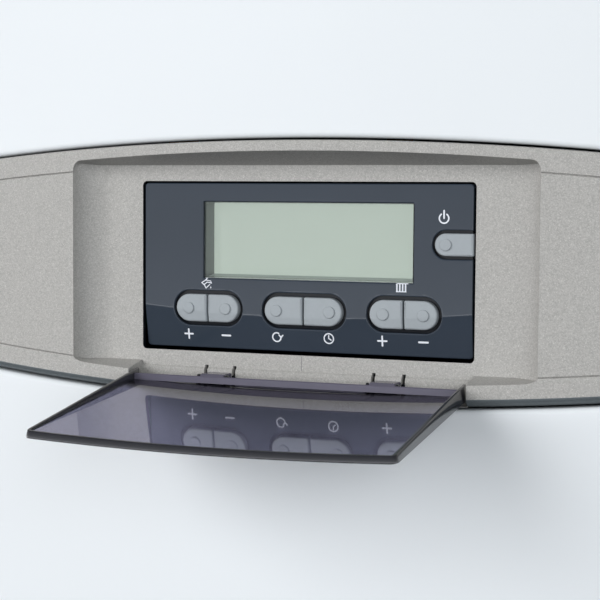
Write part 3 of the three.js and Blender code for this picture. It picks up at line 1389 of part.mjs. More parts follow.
function pressureNeedle() {
  const high = bottom - 1 - runningGap;
  const hub = rodZ(2.2, gaugeX, undersideDepth, [high - 2, high], 12);
  const pin = rodZ(1, gaugeX, undersideDepth, [high - 1, bottom + 3], 10);
  const arm = block([gaugeX - 0.6, gaugeX + 0.6], [undersideDepth - 4, undersideDepth + needleLength], [high - 1.6, high - 0.8]);
  return join(hub, pin, arm);
}

function gasValve() {
  const half = gasValveWidth / 2;
  let valve = block([-half, half], [gasValveBack, gasValveFront], [gasValveBottom, gasValveTop]);
  for (const side of [-1, 1]) {
    valve = valve.add(rodD(coilRadius, (side * half) / 2, [gasValveFront - 1, gasValveFront + coilLength],
      gasValveTop - coilRadius - 8, 20));
  }
  const regulator = rodD(8, 0, [gasValveFront - 1, gasValveFront + coilLength / 2], gasValveBottom + 18, 16);
  return valve.add(regulator);
}

const gasRunZ = airBoxBottom - gasBend;

function gasPipe() {
  return pipe([
    [0, gasRailDepth, railZ - 3 * gasRailRadius - fit],
    [0, gasRailDepth, gasRunZ],
    [0, gasInletDepth + 10, gasRunZ],
    [0, gasInletDepth + 10, gasValveTop + fit],
  ], gasPipeRadius, pipeWall);
}

function waterPipe(side) {
  const middle = (exchangerBottom + exchangerTop) / 2;
  return pipe([
    [side * (exchangerWidth / 2 + fit), pipeDepth, middle],
    [side * waterX, pipeDepth, middle],
    [side * waterX, pipeDepth, manifoldTop + fit],
  ], pipeRadius, pipeWall);
}

function expansionPipe() {
  const stubX = Math.min(vesselPipeX, vesselSize / 2 - vesselCorner);
  const turnZ = manifoldTop + 30;
  return pipe([
    [stubX, vesselPipeDepth, vesselFoot - fit],
    [stubX, vesselPipeDepth, turnZ + 60],
    [vesselPipeX, vesselPipeDepth, turnZ + 30],
    [vesselPipeX, vesselPipeDepth, turnZ],
    [vesselPipeX, manifoldBack + 10, turnZ],
    [vesselPipeX, manifoldBack + 10, manifoldTop + fit],
  ], vesselPipeRadius, pipeWall, 8);
}

const [flowInlet, hotWater, gasInlet, coldWater, returnInlet] = connectors;
piece(hydraulics, flowInlet.name, connector(flowInlet, manifoldBottom - fit), finishes.brass);
piece(hydraulics, hotWater.name, connector(hotWater, plateBottom - fit), finishes.brass);
piece(hydraulics, gasInlet.name, gasConnector(gasInlet), finishes.brass);
piece(hydraulics, coldWater.name, coldConnector(coldWater), finishes.brass);
piece(hydraulics, returnInlet.name, connector(returnInlet, manifoldBottom - fit), finishes.brass);
piece(hydraulics, 'flow_manifold', flowManifold(), finishes.brass);
piece(hydraulics, 'return_manifold', returnManifold(), finishes.blackPlastic);
piece(hydraulics, 'pump_motor', pumpMotor(), finishes.castIron);
piece(hydraulics, 'pump_impeller', pumpImpeller(), finishes.whiteDial);
piece(hydraulics, 'diverter_spindle', diverterSpindle(), finishes.steel);
piece(hydraulics, 'diverter_motor', diverterMotor(), finishes.blackPlastic);
piece(hydraulics, 'plate_heat_exchanger', plateHeatExchanger(), finishes.steel);
piece(hydraulics, 'safety_valve_knob', safetyValveKnob(), finishes.redPaint);
piece(hydraulics, 'filling_tap_knob', fillingTapKnob(), finishes.blackPlastic);
piece(hydraulics, 'pressure_gauge', pressureGauge(), finishes.blackPlastic);
piece(hydraulics, 'pressure_needle', pressureNeedle(), finishes.redPaint);
piece(hydraulics, 'gas_valve', gasValve(), finishes.aluminium);
piece(hydraulics, 'gas_pipe', gasPipe(), finishes.copper);
piece(hydraulics, 'flow_pipe', waterPipe(-1), finishes.copper);
piece(hydraulics, 'return_pipe', waterPipe(1), finishes.copper);
piece(hydraulics, 'expansion_pipe', expansionPipe(), finishes.copper);

export default boiler;
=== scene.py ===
"""Looks of a wall-hung combination boiler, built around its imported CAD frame.

The photographed face is the control band: a bowed silver moulding with a recess that holds a glossy
controller, seven buttons and a smoked flap that drops open. Those pieces, and the white front casing
round them, are modelled here in full and stand for their CAD nodes. The rest of the boiler keeps its
CAD solids, softened at the edges, with procedural finishes.

Units are millimetres in the builders and metres in Blender. Band places are [x, d, z] about the
middle of the controller's face, with d measured out of the wall.
"""

from __future__ import annotations

import json
import logging
import math
from dataclasses import dataclass, field
from enum import Enum, IntEnum
from typing import Callable, Iterable, Sequence

import bmesh
import bpy
from mathutils import Matrix, Vector

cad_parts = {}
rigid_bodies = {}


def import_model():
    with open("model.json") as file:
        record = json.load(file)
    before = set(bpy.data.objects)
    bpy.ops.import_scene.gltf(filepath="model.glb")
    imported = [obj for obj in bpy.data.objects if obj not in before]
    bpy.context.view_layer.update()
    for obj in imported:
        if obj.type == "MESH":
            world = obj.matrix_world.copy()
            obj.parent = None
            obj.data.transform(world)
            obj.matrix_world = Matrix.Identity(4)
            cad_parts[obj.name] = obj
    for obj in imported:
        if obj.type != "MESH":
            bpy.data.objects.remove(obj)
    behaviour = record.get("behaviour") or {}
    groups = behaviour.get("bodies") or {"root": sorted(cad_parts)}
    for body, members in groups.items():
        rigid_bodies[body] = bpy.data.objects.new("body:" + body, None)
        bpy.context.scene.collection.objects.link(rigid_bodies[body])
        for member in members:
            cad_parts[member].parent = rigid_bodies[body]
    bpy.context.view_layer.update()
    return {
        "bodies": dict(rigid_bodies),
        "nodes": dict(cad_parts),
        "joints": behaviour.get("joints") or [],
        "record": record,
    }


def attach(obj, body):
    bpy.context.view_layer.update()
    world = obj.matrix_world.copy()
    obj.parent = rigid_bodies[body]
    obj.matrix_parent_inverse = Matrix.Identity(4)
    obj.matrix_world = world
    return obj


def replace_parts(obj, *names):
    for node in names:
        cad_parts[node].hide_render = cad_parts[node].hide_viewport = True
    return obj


LOG = logging.getLogger("boiler")
MM = 0.001
WELD = 2e-6  # metres
# In millimetres: how far the controller's face stands out of the wall, and its middle's height.
FACE_DEPTH = 331.1
BAND_CENTRE = -483.0
Point = tuple[float, float, float]
Flat = tuple[float, float]
Loop = list[Flat]
Colour = tuple[float, float, float]


# ------------------------------------------------------------------ measurements


def sag(radius: float, distance: float) -> float:
    """How far a circular arc drops at a distance from its middle."""
    return radius - math.sqrt(radius * radius - distance * distance)


def lerp(first: float, last: float, share: float) -> float:
    """The value at a share of the way from first to last."""
    return first + (last - first) * share


def spread(first: float, last: float, count: int) -> list[float]:
    """Evenly spaced values from first to last, count steps apart, both included."""
    return [lerp(first, last, i / count) for i in range(count + 1)]


@dataclass(frozen=True)
class Casing:
    """The white sheet-metal front, in the wall's frame.

    Args:
        half: half its width.
        depth: how far its middle stands out of the wall.
        bow: the radius of its front, seen from above.
        corner: the radius of its upright corners.
        back: where its sides end towards the wall.
        top: its upper edge.
        bottom: its lower edge.
        opening_half: half the width of the band's opening.
        gap: the gap between that opening and the band.
    """

    half: float = 225.0
    depth: float = 345.0
    bow: float = 1180.0
    corner: float = 12.0
    back: float = 275.6
    top: float = 55.0
    bottom: float = -708.0
    opening_half: float = 213.0
    gap: float = 1.0


@dataclass(frozen=True)
class Band:
    """The silver control band and its recess.

    Args:
        rise: its upper edge above its middle, at x = 0.
        fall: its lower edge below its middle, at x = 0.
        half: half its width.
        arc: the radius of both edges, seen from the front.
        bow: the radius of its face, seen from above.
        lead: its face in front of the controller's, at x = 0.
        back: its back.
        groove_top: the upper joint line below the upper edge.
        groove_bottom: the lower joint line above the lower edge.
        recess_half: half the recess's width.
        floor_half: half the width of the recess's flat floor.
        scoop: the radius of the recess's scooped sides, as a depth.
        recess_rise: the recess's upper front edge above the middle, at x = 0.
        recess_fall: its lower front edge below the middle, at x = 0.
        recess_arc: the radius of both, seen from the front.
        corner_top: the width over which the recess's upper corners turn.
        corner_bottom: that of its lower corners.
        floor_rise: the floor's upper edge above the middle.
        floor_fall: the floor's lower edge below it.
        opening: the lower and upper edge of the controller's opening.
        opening_sides: its left and right edge.
        opening_corner: the radius of its corners.
        notch_half: half the width of the flap's notch.
        rail: the notch's face in front of the controller's.
        ledge: the notch's upper edge below the middle.
    """

    rise: float = 53.8
    fall: float = 55.6
    half: float = 212.0
    arc: float = 1450.0
    bow: float = 1181.5
    lead: float = 15.4
    back: float = -29.5
    groove_top: float = 9.6
    groove_bottom: float = 11.5
    recess_half: float = 104.0
    floor_half: float = 90.0
    scoop: float = 10.8
    recess_rise: float = 49.2
    recess_fall: float = 46.6
    recess_arc: float = 1322.0
    corner_top: float = 3.6
    corner_bottom: float = 6.5
    floor_rise: float = 43.8
    floor_fall: float = 42.0
    opening: Flat = (-36.9, 36.8)
    opening_sides: Flat = (-75.1, 75.4)
    opening_corner: float = 2.0
    notch_half: float = 75.6
    rail: float = 1.2
    ledge: float = 43.7

    def front(self, x: float) -> float:
        """Depth of the band's outer face."""
        return self.lead - sag(self.bow, x)

    def top(self, x: float) -> float:
        """Height of the band's upper edge."""
        return self.rise - sag(self.arc, x)

    def bottom(self, x: float) -> float:
        """Height of the band's lower edge."""
        return -self.fall + sag(self.arc, x)

    def floor(self, x: float) -> float:
        """Depth of the recess at mid height: flat, then scooped out to the band's face.

        Args:
            x: the place across the band.

        Returns:
            The depth in front of the controller's face.
        """
        beyond = (abs(x) - self.floor_half) / (self.recess_half - self.floor_half)
        if beyond <= 0:
            return 0.0
        return min(self.front(x), self.scoop * (1 - math.sqrt(max(0.0, 1 - beyond * beyond))))

    def rim(self, x: float, upper: bool) -> float:
        """Height of the recess's front edge, with its rounded corners.

        Args:
            x: the place across the band.
            upper: whether it is the upper edge.

        Returns:
            The height above the middle, negative for the lower edge.
        """
        level = self.recess_rise if upper else self.recess_fall
        edge = level - sag(self.recess_arc, x)
        groove = self.top(x) - self.groove_top if upper else -self.bottom(x) - self.groove_bottom
        width = self.corner_top if upper else self.corner_bottom
        inside = abs(x) - (self.recess_half - width)
        if inside > 0:
            turn = math.sqrt(max(0.0, 1 - (inside / width) ** 2))
            edge = groove + (edge - groove) * turn
        return edge if upper else -edge


CASING = Casing()
BAND = Band()


class Print(Enum):
    """Generic signs printed beside the buttons."""

    POWER = "power"
    PLUS = "plus"
    MINUS = "minus"
    RESET = "reset"
    CLOCK = "clock"
    TAP = "tap"
    RADIATOR = "radiator"


@dataclass(frozen=True)
class Key:
    """One button.

    Args:
        node: the CAD node that it stands for.
        body: the CAD body that it moves with.
        span: its left and right ends.
        half: half its height.
        z: its middle's height.
        round_left: whether its left end is round.
        round_right: whether its right end is round.
        spot: x of its raised disc.
    """

    node: str
    body: str
    span: Flat
    half: float
    z: float
    round_left: bool
    round_right: bool
    spot: float


@dataclass(frozen=True)
class PairRow:
    """The lower row of buttons, in three pairs.

    Args:
        middle: x of the middle pair.
        pitch: from one pair's middle to the next.
        gap: half the gap between the two buttons of a pair.
        half: half the height of a button.
        z: the row's height.
        inner: the middle pair's width, and its discs' distance from the pair's middle.
        outer: the same of the outer pairs.
    """

    middle: float = 0.7
    pitch: float = 44.4
    gap: float = 0.4
    half: float = 6.0
    z: float = -18.1
    inner: Flat = (35.0, 12.0)
    outer: Flat = (29.3, 8.7)

    def keys(self) -> list[Key]:
        """The six buttons.

        Returns:
            The buttons, from left to right.
        """
        names = {
            -1: ("hot_water_plus", "hot_water_minus"),
            0: ("reset", "clock"),
            1: ("heating_plus", "heating_minus"),
        }
        keys = []
        for place, (first, second) in names.items():
            width, disc = self.outer if place else self.inner
            centre = self.middle + place * self.pitch
            keys.append(Key(f"button_{first}", f"{first}_key", (centre - width / 2, centre - self.gap),
                            self.half, self.z, True, False, centre - disc))
            keys.append(Key(f"button_{second}", f"{second}_key", (centre + self.gap, centre + width / 2),
                            self.half, self.z, False, True, centre + disc))
        return keys


POWER_KEY = Key("button_power", "power_key", (58.3, 74.6), 4.65, 11.2, True, False, 62.95)
KEYS = [*PairRow().keys(), POWER_KEY]


@dataclass(frozen=True)
class Controller:
    """The glossy controller.

    Args:
        left: its left edge.
        right: its right edge.
        bottom: its lower edge.
        top: its upper edge.
        corner: the radius of its corners.
        half_z: where the slant reaches its full depth, below the middle.
        wall: the thickness of its front.
        depth: how far back it goes.
        crease: the crease below the middle, at x = 0.
        crease_arc: the radius of the crease, seen from the front.
        crease_round: half the height over which the crease turns.
        slant: how far back its lower edge lies.
        reach: the x past which the crease runs level.
        display: the display's left, right, lower and upper edge.
        well: the gap round each pair of buttons.
        well_floor: the floor of the buttons' wells.
    """

    left: float = -74.0
    right: float = 74.3
    bottom: float = -35.6
    top: float = 36.0
    corner: float = 1.6
    half_z: float = 36.25
    wall: float = 2.2
    depth: float = 28.0
    crease: float = 20.9
    crease_arc: float = 740.0
    crease_round: float = 0.55
    slant: float = 2.5
    reach: float = 80.0
    display: tuple[float, float, float, float] = (-45.9, 49.1, -5.0, 28.0)
    well: float = 1.6
    well_floor: float = -3.4

    def fold(self, x: float) -> float:
        """Height of the crease."""
        return -self.crease + sag(self.crease_arc, x)

    def settle(self, point: Point) -> Point:
        """The point moved back by the slant of the face below the crease.

        Args:
            point: a place [x, d, z] on a controller without the slant.

        Returns:
            The same place on the slanting one.
        """
        x, d, z = point
        below = self.fold(max(-self.reach, min(self.reach, x))) - z
        turn = self.crease_round
        if below <= -turn:
            return point
        fall = below if below >= turn else (below + turn) ** 2 / (4 * turn)
        return (x, d - fall * self.slant / (self.half_z - self.crease), z)


CONTROLLER = Controller()


@dataclass(frozen=True)
class Flap:
    """The smoked flap about its pivot, in its closed place.

    Args:
        half: half its width.
        pivot_depth: its hinge in front of the controller's face.
        pivot_z: its hinge's height.
        root: its outer face in front of the hinge, at its sides.
        bow: how much further that face stands out in the middle.
        reach: its free edge above the hinge, at x = 0.
        arc: the radius of the free edge, seen from the front.
        corner: the radius of its free corners.
        plate: the thickness of its clear plate.
        rim: the width of its rim.
        rim_root: the rim's height at the hinge.
        rim_tip: the rim's height at the free edge.
        draft: how far the rim's outer side slants inwards.
        opened: degrees from closed to wide open.
        rib: the height of the rib along its root.
        lugs: x of the two knuckles.
        lug_half: half a knuckle's width.
        ear_spread: from a knuckle's middle to the ears beside it.
        lean_root: how far its root leans back.
        lean_tip: how far its free edge leans forward.
        knuckle_gap: half the width of the cut-outs round the knuckles.
    """

    half: float = 75.0
    pivot_depth: float = 8.1
    pivot_z: float = -47.4
    root: float = 4.8
    bow: float = 1.2
    reach: float = 95.8
    arc: float = 1322.0
    corner: float = 3.0
    plate: float = 2.5
    rim: float = 2.2
    rim_root: float = 6.4
    rim_tip: float = 2.9
    draft: float = 0.8
    opened: float = 95.8
    rib: float = 2.9
    lugs: Flat = (-37.5, 39.0)
    lug_half: float = 5.6
    ear_spread: float = 6.6
    lean_root: float = 1.25
    lean_tip: float = 0.9
    knuckle_gap: float = 5.9

    def lead(self, x: float, z: float) -> float:
        """Distance of the outer face from the pivot."""
        lean = lerp(-self.lean_root, self.lean_tip, max(0.0, min(1.0, z / self.reach)))
        return self.root + lean + self.bow * (1 - (x / self.half) ** 2)

    def edge(self, x: float) -> float:
        """Height of the free edge, before its corners turn."""
        return self.reach - sag(self.arc, x)

    def tip(self, x: float) -> float:
        """Height of the free edge, with its rounded corners.

        Args:
            x: the place across the flap.

        Returns:
            The height above the hinge.
        """
        edge = self.edge(x)
        inside = abs(x) - (self.half - self.corner)
        if inside > 0:
            edge -= self.corner * (1 - math.sqrt(max(0.0, 1 - (inside / self.corner) ** 2)))
        return edge

    def placed(self, point: Point) -> Point:
        """A point about the pivot, turned to the open place.

        Args:
            point: a place [x, lead, z] on the closed flap, about its hinge.

        Returns:
            The place [x, d, z] about the middle of the controller's face.
        """
        x, lead, z = point
        angle = math.radians(self.opened)
        y = -lead * math.cos(angle) - z * math.sin(angle)
        up = -lead * math.sin(angle) + z * math.cos(angle)
        return (x, self.pivot_depth - y, self.pivot_z + up)


FLAP = Flap()


# ------------------------------------------------------------------ materials


def rgb(red: int, green: int, blue: int) -> Colour:
    """A linear colour from sRGB values.

    Args:
        red: out of 255.
        green: out of 255.
        blue: out of 255.

    Returns:
        The colour, each part out of 1.
    """
    def linear(value: int) -> float:
        """One part of the colour."""
        share = value / 255
        return share / 12.92 if share <= 0.04045 else ((share + 0.055) / 1.055) ** 2.4
    return (linear(red), linear(green), linear(blue))


def shade(colour: Colour, factor: float) -> Colour:
    """The colour, lighter or darker."""
    return tuple(min(1.0, c * factor) for c in colour)  # type: ignore[return-value]


class Signal:
    """A shader socket that arithmetic extends with Math nodes."""

    def __init__(self, tree: Tree, socket: bpy.types.NodeSocket) -> None:
        """Wraps an output socket of a tree."""
        self.tree = tree
        self.socket = socket

    def _math(self, operation: str, other: Signal | float) -> Signal:
        """A Math node on this signal and another value."""
        return self.tree.signal("ShaderNodeMath", {"operation": operation}, {0: self, 1: other})

    def __add__(self, other: Signal | float) -> Signal:
        """The sum."""
        return self._math("ADD", other)

    def __mul__(self, other: Signal | float) -> Signal:
        """The product."""
        return self._math("MULTIPLY", other)

    __radd__ = __add__
    __rmul__ = __mul__

    def above(self, level: float, blur: float) -> Signal:
        """0 below a level and 1 above it, over a soft step."""
        sockets = {"Value": self, "From Min": level - blur, "From Max": level + blur}
        return self.tree.signal("ShaderNodeMapRange", sockets=sockets, output="Result")


class Tree:
    """A node tree under construction."""

    def __init__(self, tree: bpy.types.NodeTree) -> None:
        """Wraps a tree."""
        self.tree = tree

    def node(self, kind: str, settings: dict[str, object] | None = None,
             sockets: dict[str | int, Signal | float | Sequence[float]] | None = None) -> bpy.types.Node:
        """Adds a node.

        Args:
            kind: its type.
            settings: its own properties, or a colour ramp's stops, which are set first.
            sockets: values or signals for its inputs, by name or number.

        Returns:
            The node.
        """
        node = self.tree.nodes.new(kind)
        for name, value in (settings or {}).items():
            if name == "stops":
                self.stops(node.color_ramp.elements, value)
            else:
                setattr(node, name, value)
        for name, value in (sockets or {}).items():
            self.feed(node.inputs[name], value)
        return node

    def signal(self, kind: str, settings: dict[str, object] | None = None,
               sockets: dict[str | int, Signal | float | Sequence[float]] | None = None,
               output: str | int = 0) -> Signal:
        """Adds a node and gives one of its outputs, by name or number."""
        return Signal(self, self.node(kind, settings, sockets).outputs[output])

    def feed(self, slot: bpy.types.NodeSocket, value: Signal | float | Sequence[float]) -> None:
        """Links a signal to a socket, or sets its value.

        Args:
            slot: the input socket.
            value: the signal, number, vector or colour.
        """
        if isinstance(value, Signal):
            self.tree.links.new(value.socket, slot)
        elif slot.type == "RGBA":
            slot.default_value = (*value, 1.0)
        else:
            slot.default_value = value

    @staticmethod
    def stops(elements: bpy.types.ColorRampElements, stops: Sequence[tuple[float, Colour]]) -> None:
        """Sets a new ramp's stops.

        Args:
            elements: the ramp's two first elements.
            stops: the place and colour of each stop, in order.
        """
        elements[0].position = stops[0][0]
        elements[1].position = stops[-1][0]
        for position, _ in stops[1:-1]:
            elements.new(position)
        for element, (_, colour) in zip(elements, stops):
            element.color = (*colour, 1.0)


class Shader(Tree):
    """A node material under construction."""

    def __init__(self, name: str) -> None:
        """Makes the material, with its main shader and the place on the object."""
        self.material = bpy.data.materials.new(name)
        self.material.use_nodes = True
        super().__init__(self.material.node_tree)
        self.bsdf = next(n for n in self.tree.nodes if n.type == "BSDF_PRINCIPLED")
        self.place = self.signal("ShaderNodeTexCoord", output="Object")

    def set(self, **values: Signal | float | Sequence[float]) -> Shader:
        """Sets or links sockets of the main shader by name, with _ for a space.

        Args:
            values: the values or signals.

        Returns:
            This shader.
        """
        for name, value in values.items():
            self.feed(self.bsdf.inputs[name.replace("_", " ")], value)
        return self

    def noise(self, scale: float, detail: float = 3.0, stretch: Point = (1, 1, 1)) -> Signal:
        """Fractal noise in the frame's metres.

        Args:
            scale: how fine it is.
            detail: how many finer layers it has.
            stretch: below 1, it is drawn out along that axis.

        Returns:
            The noise, about 0.5.
        """
        place = self.signal("ShaderNodeMapping", sockets={"Vector": self.place, "Scale": stretch})
        return self.signal("ShaderNodeTexNoise", sockets={"Vector": place, "Scale": scale, "Detail": detail},
                           output="Fac")

    def cells(self, scale: float) -> Signal:
        """One random value for each cell of a Voronoi pattern."""
        colour = self.signal("ShaderNodeTexVoronoi", sockets={"Vector": self.place, "Scale": scale}, output="Color")
        return self.signal("ShaderNodeSeparateColor", sockets={0: colour})

    def height(self) -> Signal:
        """Z in metres."""
        return self.signal("ShaderNodeSeparateXYZ", sockets={0: self.place}, output=2)

    def mix(self, factor: Signal, first: Signal | Colour, second: Signal | Colour) -> Signal:
        """A colour between two, by a factor."""
        return self.signal("ShaderNodeMix", {"data_type": "RGBA"}, {"Factor": factor, 6: first, 7: second}, 2)

    def bump(self, height: Signal, depth: float, strength: float = 1.0) -> Shader:
        """Gives the surface a relief of a depth in millimetres."""
        sockets = {"Height": height, "Distance": depth * MM, "Strength": strength}
        return self.set(Normal=self.signal("ShaderNodeBump", sockets=sockets, output="Normal"))


@dataclass(frozen=True)
class Grain:
    """An uneven pattern over a surface.

    Args:
        scale: how fine it is.
        detail: how many finer layers the noise has.
        stretch: below 1, the noise is drawn out along that axis.
        cells: whether it is flat random cells, as on galvanised sheet.
    """

    scale: float
    detail: float = 3.0
    stretch: Point = (1, 1, 1)
    cells: bool = False

    def on(self, shader: Shader) -> Signal:
        """The pattern in a material."""
        return shader.cells(self.scale) if self.cells else shader.noise(self.scale, self.detail, self.stretch)


@dataclass(frozen=True)
class Finish:
    """A finish of one or two tints, with a roughness and a fine relief.

    Args:
        tints: its colour, or the two that its mottle runs between.
        mottle: the grain that mixes them.
        rough: its roughness.
        swing: how far its roughness rises with its wear.
        wear: the grain of its roughness, or None for the mottle.
        relief: the depth of its relief in millimetres.
        texture: the grain of its relief, or None for the mottle.
        constants: the main shader's other values, by name.
    """

    tints: tuple[Colour, ...]
    mottle: Grain
    rough: float
    swing: float = 0.0
    wear: Grain | None = None
    relief: float = 0.0
    texture: Grain | None = None
    constants: dict[str, float] = field(default_factory=dict)

    def apply(self, shader: Shader) -> None:
        """Sets up a material.

        Args:
            shader: the new material's shader.
        """
        mottle = self.mottle.on(shader)
        tint = shader.mix(mottle, *self.tints) if len(self.tints) == 2 else self.tints[0]
        shader.set(Base_Color=tint, Roughness=self.rough, **self.constants)
        if self.swing:
            wear = self.wear.on(shader) if self.wear else mottle
            shader.set(Roughness=wear * self.swing + self.rough)
        if self.relief:
            shader.bump(self.texture.on(shader) if self.texture else mottle, self.relief)


@dataclass(frozen=True)
class Silver:
    """The band's silver plastic, with its grain of metal flakes and a few painted glints.

    Args:
        tint: its mean colour.
        dark: the factor of its darkest flakes.
        light: the factor of its lightest.
        painted_glint_factor: the factor of the few flakes made lighter as painted glints, a painted highlight.
    """

    tint: Colour = rgb(182, 181, 178)
    dark: float = 0.70
    light: float = 1.28
    painted_glint_factor: float = 1.45

    def apply(self, shader: Shader) -> None:
        """Sets up a material.

        Args:
            shader: the new material's shader.
        """
        grain = shader.cells(2600.0) * 0.5 + shader.noise(1500.0, 2.0) * 0.5
        flakes = shader.mix(grain, shade(self.tint, self.dark), shade(self.tint, self.light))
        # painted highlight: a few flake cells are lightened in the colour as painted glints
        painted_glint_mask = shader.cells(3400.0).above(0.965, 0.01)
        shader.set(Base_Color=shader.mix(painted_glint_mask * 0.7, flakes, shade(self.tint, self.painted_glint_factor)), Metallic=0.15)
        shader.set(Roughness=shader.noise(1800.0, 1.0) * 0.16 + 0.42)
        shader.bump(grain, 0.03, 0.7)


@dataclass(frozen=True)
class LiquidCrystal:
    """The blank display, with a weak painted light: an emission, though it is no lamp.

    Args:
        tints: its colours lower down and higher up.
        painted_glow: the colour of its painted light.
        strength: how strong that painted light is.
    """

    tints: tuple[Colour, Colour] = (rgb(184, 194, 184), rgb(190, 198, 191))
    painted_glow: Colour = (0.87, 1.0, 0.885)
    strength: float = 0.4

    def apply(self, shader: Shader) -> None:
        """Sets up a material.

        Args:
            shader: the new material's shader.
        """
        rise = shader.height() * 14.0 + 7.0
        shader.set(Base_Color=shader.mix(rise, *self.tints), Roughness=0.42)
        # painted light: the emission brightens the display, which is no lamp
        shader.set(Emission_Color=self.painted_glow, Emission_Strength=self.strength)
        shader.bump(shader.noise(3000.0, 1.0), 0.004)


@dataclass(frozen=True)
class Circuit:
    """Green board with long tracks in a lighter green.

    Args:
        tints: the board's colour and its tracks'.
    """

    tints: tuple[Colour, Colour] = (rgb(24, 92, 56), rgb(38, 122, 74))

    def apply(self, shader: Shader) -> None:
        """Sets up a material.

        Args:
            shader: the new material's shader.
        """
        tracks = shader.noise(260.0, 0.0, (1, 1, 0.12)).above(0.56, 0.01)
        shader.set(Base_Color=shader.mix(tracks, *self.tints), Roughness=0.35)
        shader.bump(tracks, 0.05)


FINISHES: dict[str, Finish | Silver | LiquidCrystal | Circuit] = {
    "white_paint": Finish((rgb(233, 238, 242), rgb(237, 242, 246)), Grain(9.0, 2.0), 0.42, 0.06, Grain(60.0),
                          0.02, Grain(420.0, 2.0), {"Coat_Weight": 0.06, "Coat_Roughness": 0.12}),
    "silver": Silver(),
    # painted shade: a darker blue-grey copy of the silver for the band's turned lower strip and its back, where shade
    # falls
    "band_edge_painted_shade": Finish((rgb(96, 104, 109), rgb(116, 124, 128)), Grain(1600.0, 2.0), 0.42,
                        constants={"Metallic": 0.3}),
    "panel": Finish((rgb(49, 58, 69), rgb(53, 62, 74)), Grain(40.0, 2.0), 0.12, 0.05, Grain(300.0),
                    0.01, Grain(90.0, 1.0), {"Coat_Weight": 0.3, "Coat_Roughness": 0.05}),
    "tube": Finish((rgb(122, 128, 128), rgb(134, 140, 140)), Grain(500.0), 0.35),
    # painted light: a paler copy of the tube's grey for the display's lower slope, which faces up to the light
    "painted_light_sill": Finish((rgb(196, 204, 204), rgb(206, 213, 213)), Grain(500.0), 0.3),
    # painted shade: near-black for the gaps round the buttons, the edges of the controller's opening and the hinge
    # slots
    "well": Finish((rgb(17, 20, 26), rgb(24, 27, 34)), Grain(500.0), 0.3),
    "key": Finish((rgb(158, 165, 170), rgb(165, 172, 177)), Grain(700.0, 2.0), 0.33, 0.1, Grain(900.0),
                  0.008, Grain(2200.0, 1.0)),
    "ink": Finish((rgb(222, 227, 236), rgb(232, 236, 243)), Grain(1500.0), 0.4),
    "smoked": Finish((rgb(146, 144, 168),), Grain(220.0, 2.0), 0.01, 0.02, None,
                     0.02, Grain(30.0, 1.0), {"Transmission_Weight": 1.0, "IOR": 1.52}),
    "root": Finish((rgb(108, 106, 122), rgb(120, 117, 134)), Grain(150.0, 2.0), 0.16, 0.1, Grain(400.0),
                   constants={"Transmission_Weight": 0.25, "IOR": 1.5}),
    "seam": Finish((rgb(118, 120, 122), rgb(140, 141, 141)), Grain(900.0), 0.5),
    "smoked_rim": Finish((rgb(36, 37, 42), rgb(44, 45, 51)), Grain(120.0), 0.14, 0.1, Grain(400.0),
                         constants={"Coat_Weight": 0.5, "Coat_Roughness": 0.06}),
    "clear": Finish(((0.96, 0.98, 0.97),), Grain(200.0), 0.005, 0.01,
                    constants={"Transmission_Weight": 1.0, "IOR": 1.47}),
    "display": LiquidCrystal(),
    "galvanised": Finish((rgb(168, 172, 174), rgb(190, 194, 196)), Grain(170.0, cells=True), 0.34, 0.16, None,
                         0.02, Grain(260.0), {"Metallic": 0.85}),
    "steel": Finish((rgb(176, 178, 180), rgb(202, 204, 206)), Grain(900.0, 2.0, (0.05, 1, 1)), 0.25, 0.15,
                    relief=0.01, constants={"Metallic": 1.0}),
    "black_plastic": Finish((rgb(27, 28, 31), rgb(35, 36, 39)), Grain(300.0), 0.5,
                            relief=0.04, texture=Grain(1400.0, 2.0)),
    "circuit": Circuit(),
    "copper": Finish((rgb(176, 106, 66), rgb(212, 148, 108)), Grain(45.0, 4.0), 0.18, 0.25, None,
                     0.01, Grain(500.0), {"Metallic": 1.0}),
    "brass": Finish((rgb(186, 154, 88), rgb(206, 178, 112)), Grain(60.0), 0.22, 0.2,
                    Grain(1100.0, 1.0, (0.1, 0.1, 1)), 0.02, Grain(1100.0, 1.0, (0.1, 0.1, 1)), {"Metallic": 1.0}),
    "aluminium": Finish((rgb(178, 181, 183), rgb(206, 208, 210)), Grain(700.0), 0.38, 0.15,
                        relief=0.05, constants={"Metallic": 0.95}),
    "cast": Finish((rgb(42, 58, 66), rgb(56, 74, 82)), Grain(500.0, 4.0), 0.5, relief=0.15),
    "red": Finish((rgb(158, 40, 32), rgb(176, 50, 40)), Grain(20.0), 0.36, relief=0.02, texture=Grain(420.0)),
    "ceramic": Finish((rgb(232, 231, 226), rgb(240, 240, 236)), Grain(200.0), 0.3,
                      relief=0.01, texture=Grain(600.0)),
}


class Finishes:
    """The boiler's materials, each made once, when it is first asked for."""

    def __init__(self) -> None:
        """Starts with none."""
        self._made: dict[str, bpy.types.Material] = {}

    def __getitem__(self, name: str) -> bpy.types.Material:
        """The material of a finish's name."""
        if name not in self._made:
            shader = Shader(name)
            FINISHES[name].apply(shader)
            self._made[name] = shader.material
        return self._made[name]


# ------------------------------------------------------------------ mesh building


def in_band(point: Point) -> Vector:
    """A point about the controller's face, in millimetres, as a place in the frame's metres."""
    x, d, z = point
    return Vector((x, -(FACE_DEPTH + d), BAND_CENTRE + z)) * MM


def on_wall(point: Point) -> Vector:
    """A point [x, depth from the wall, z] in millimetres as a place in the frame's metres."""
    x, d, z = point
    return Vector((x, -d, z)) * MM


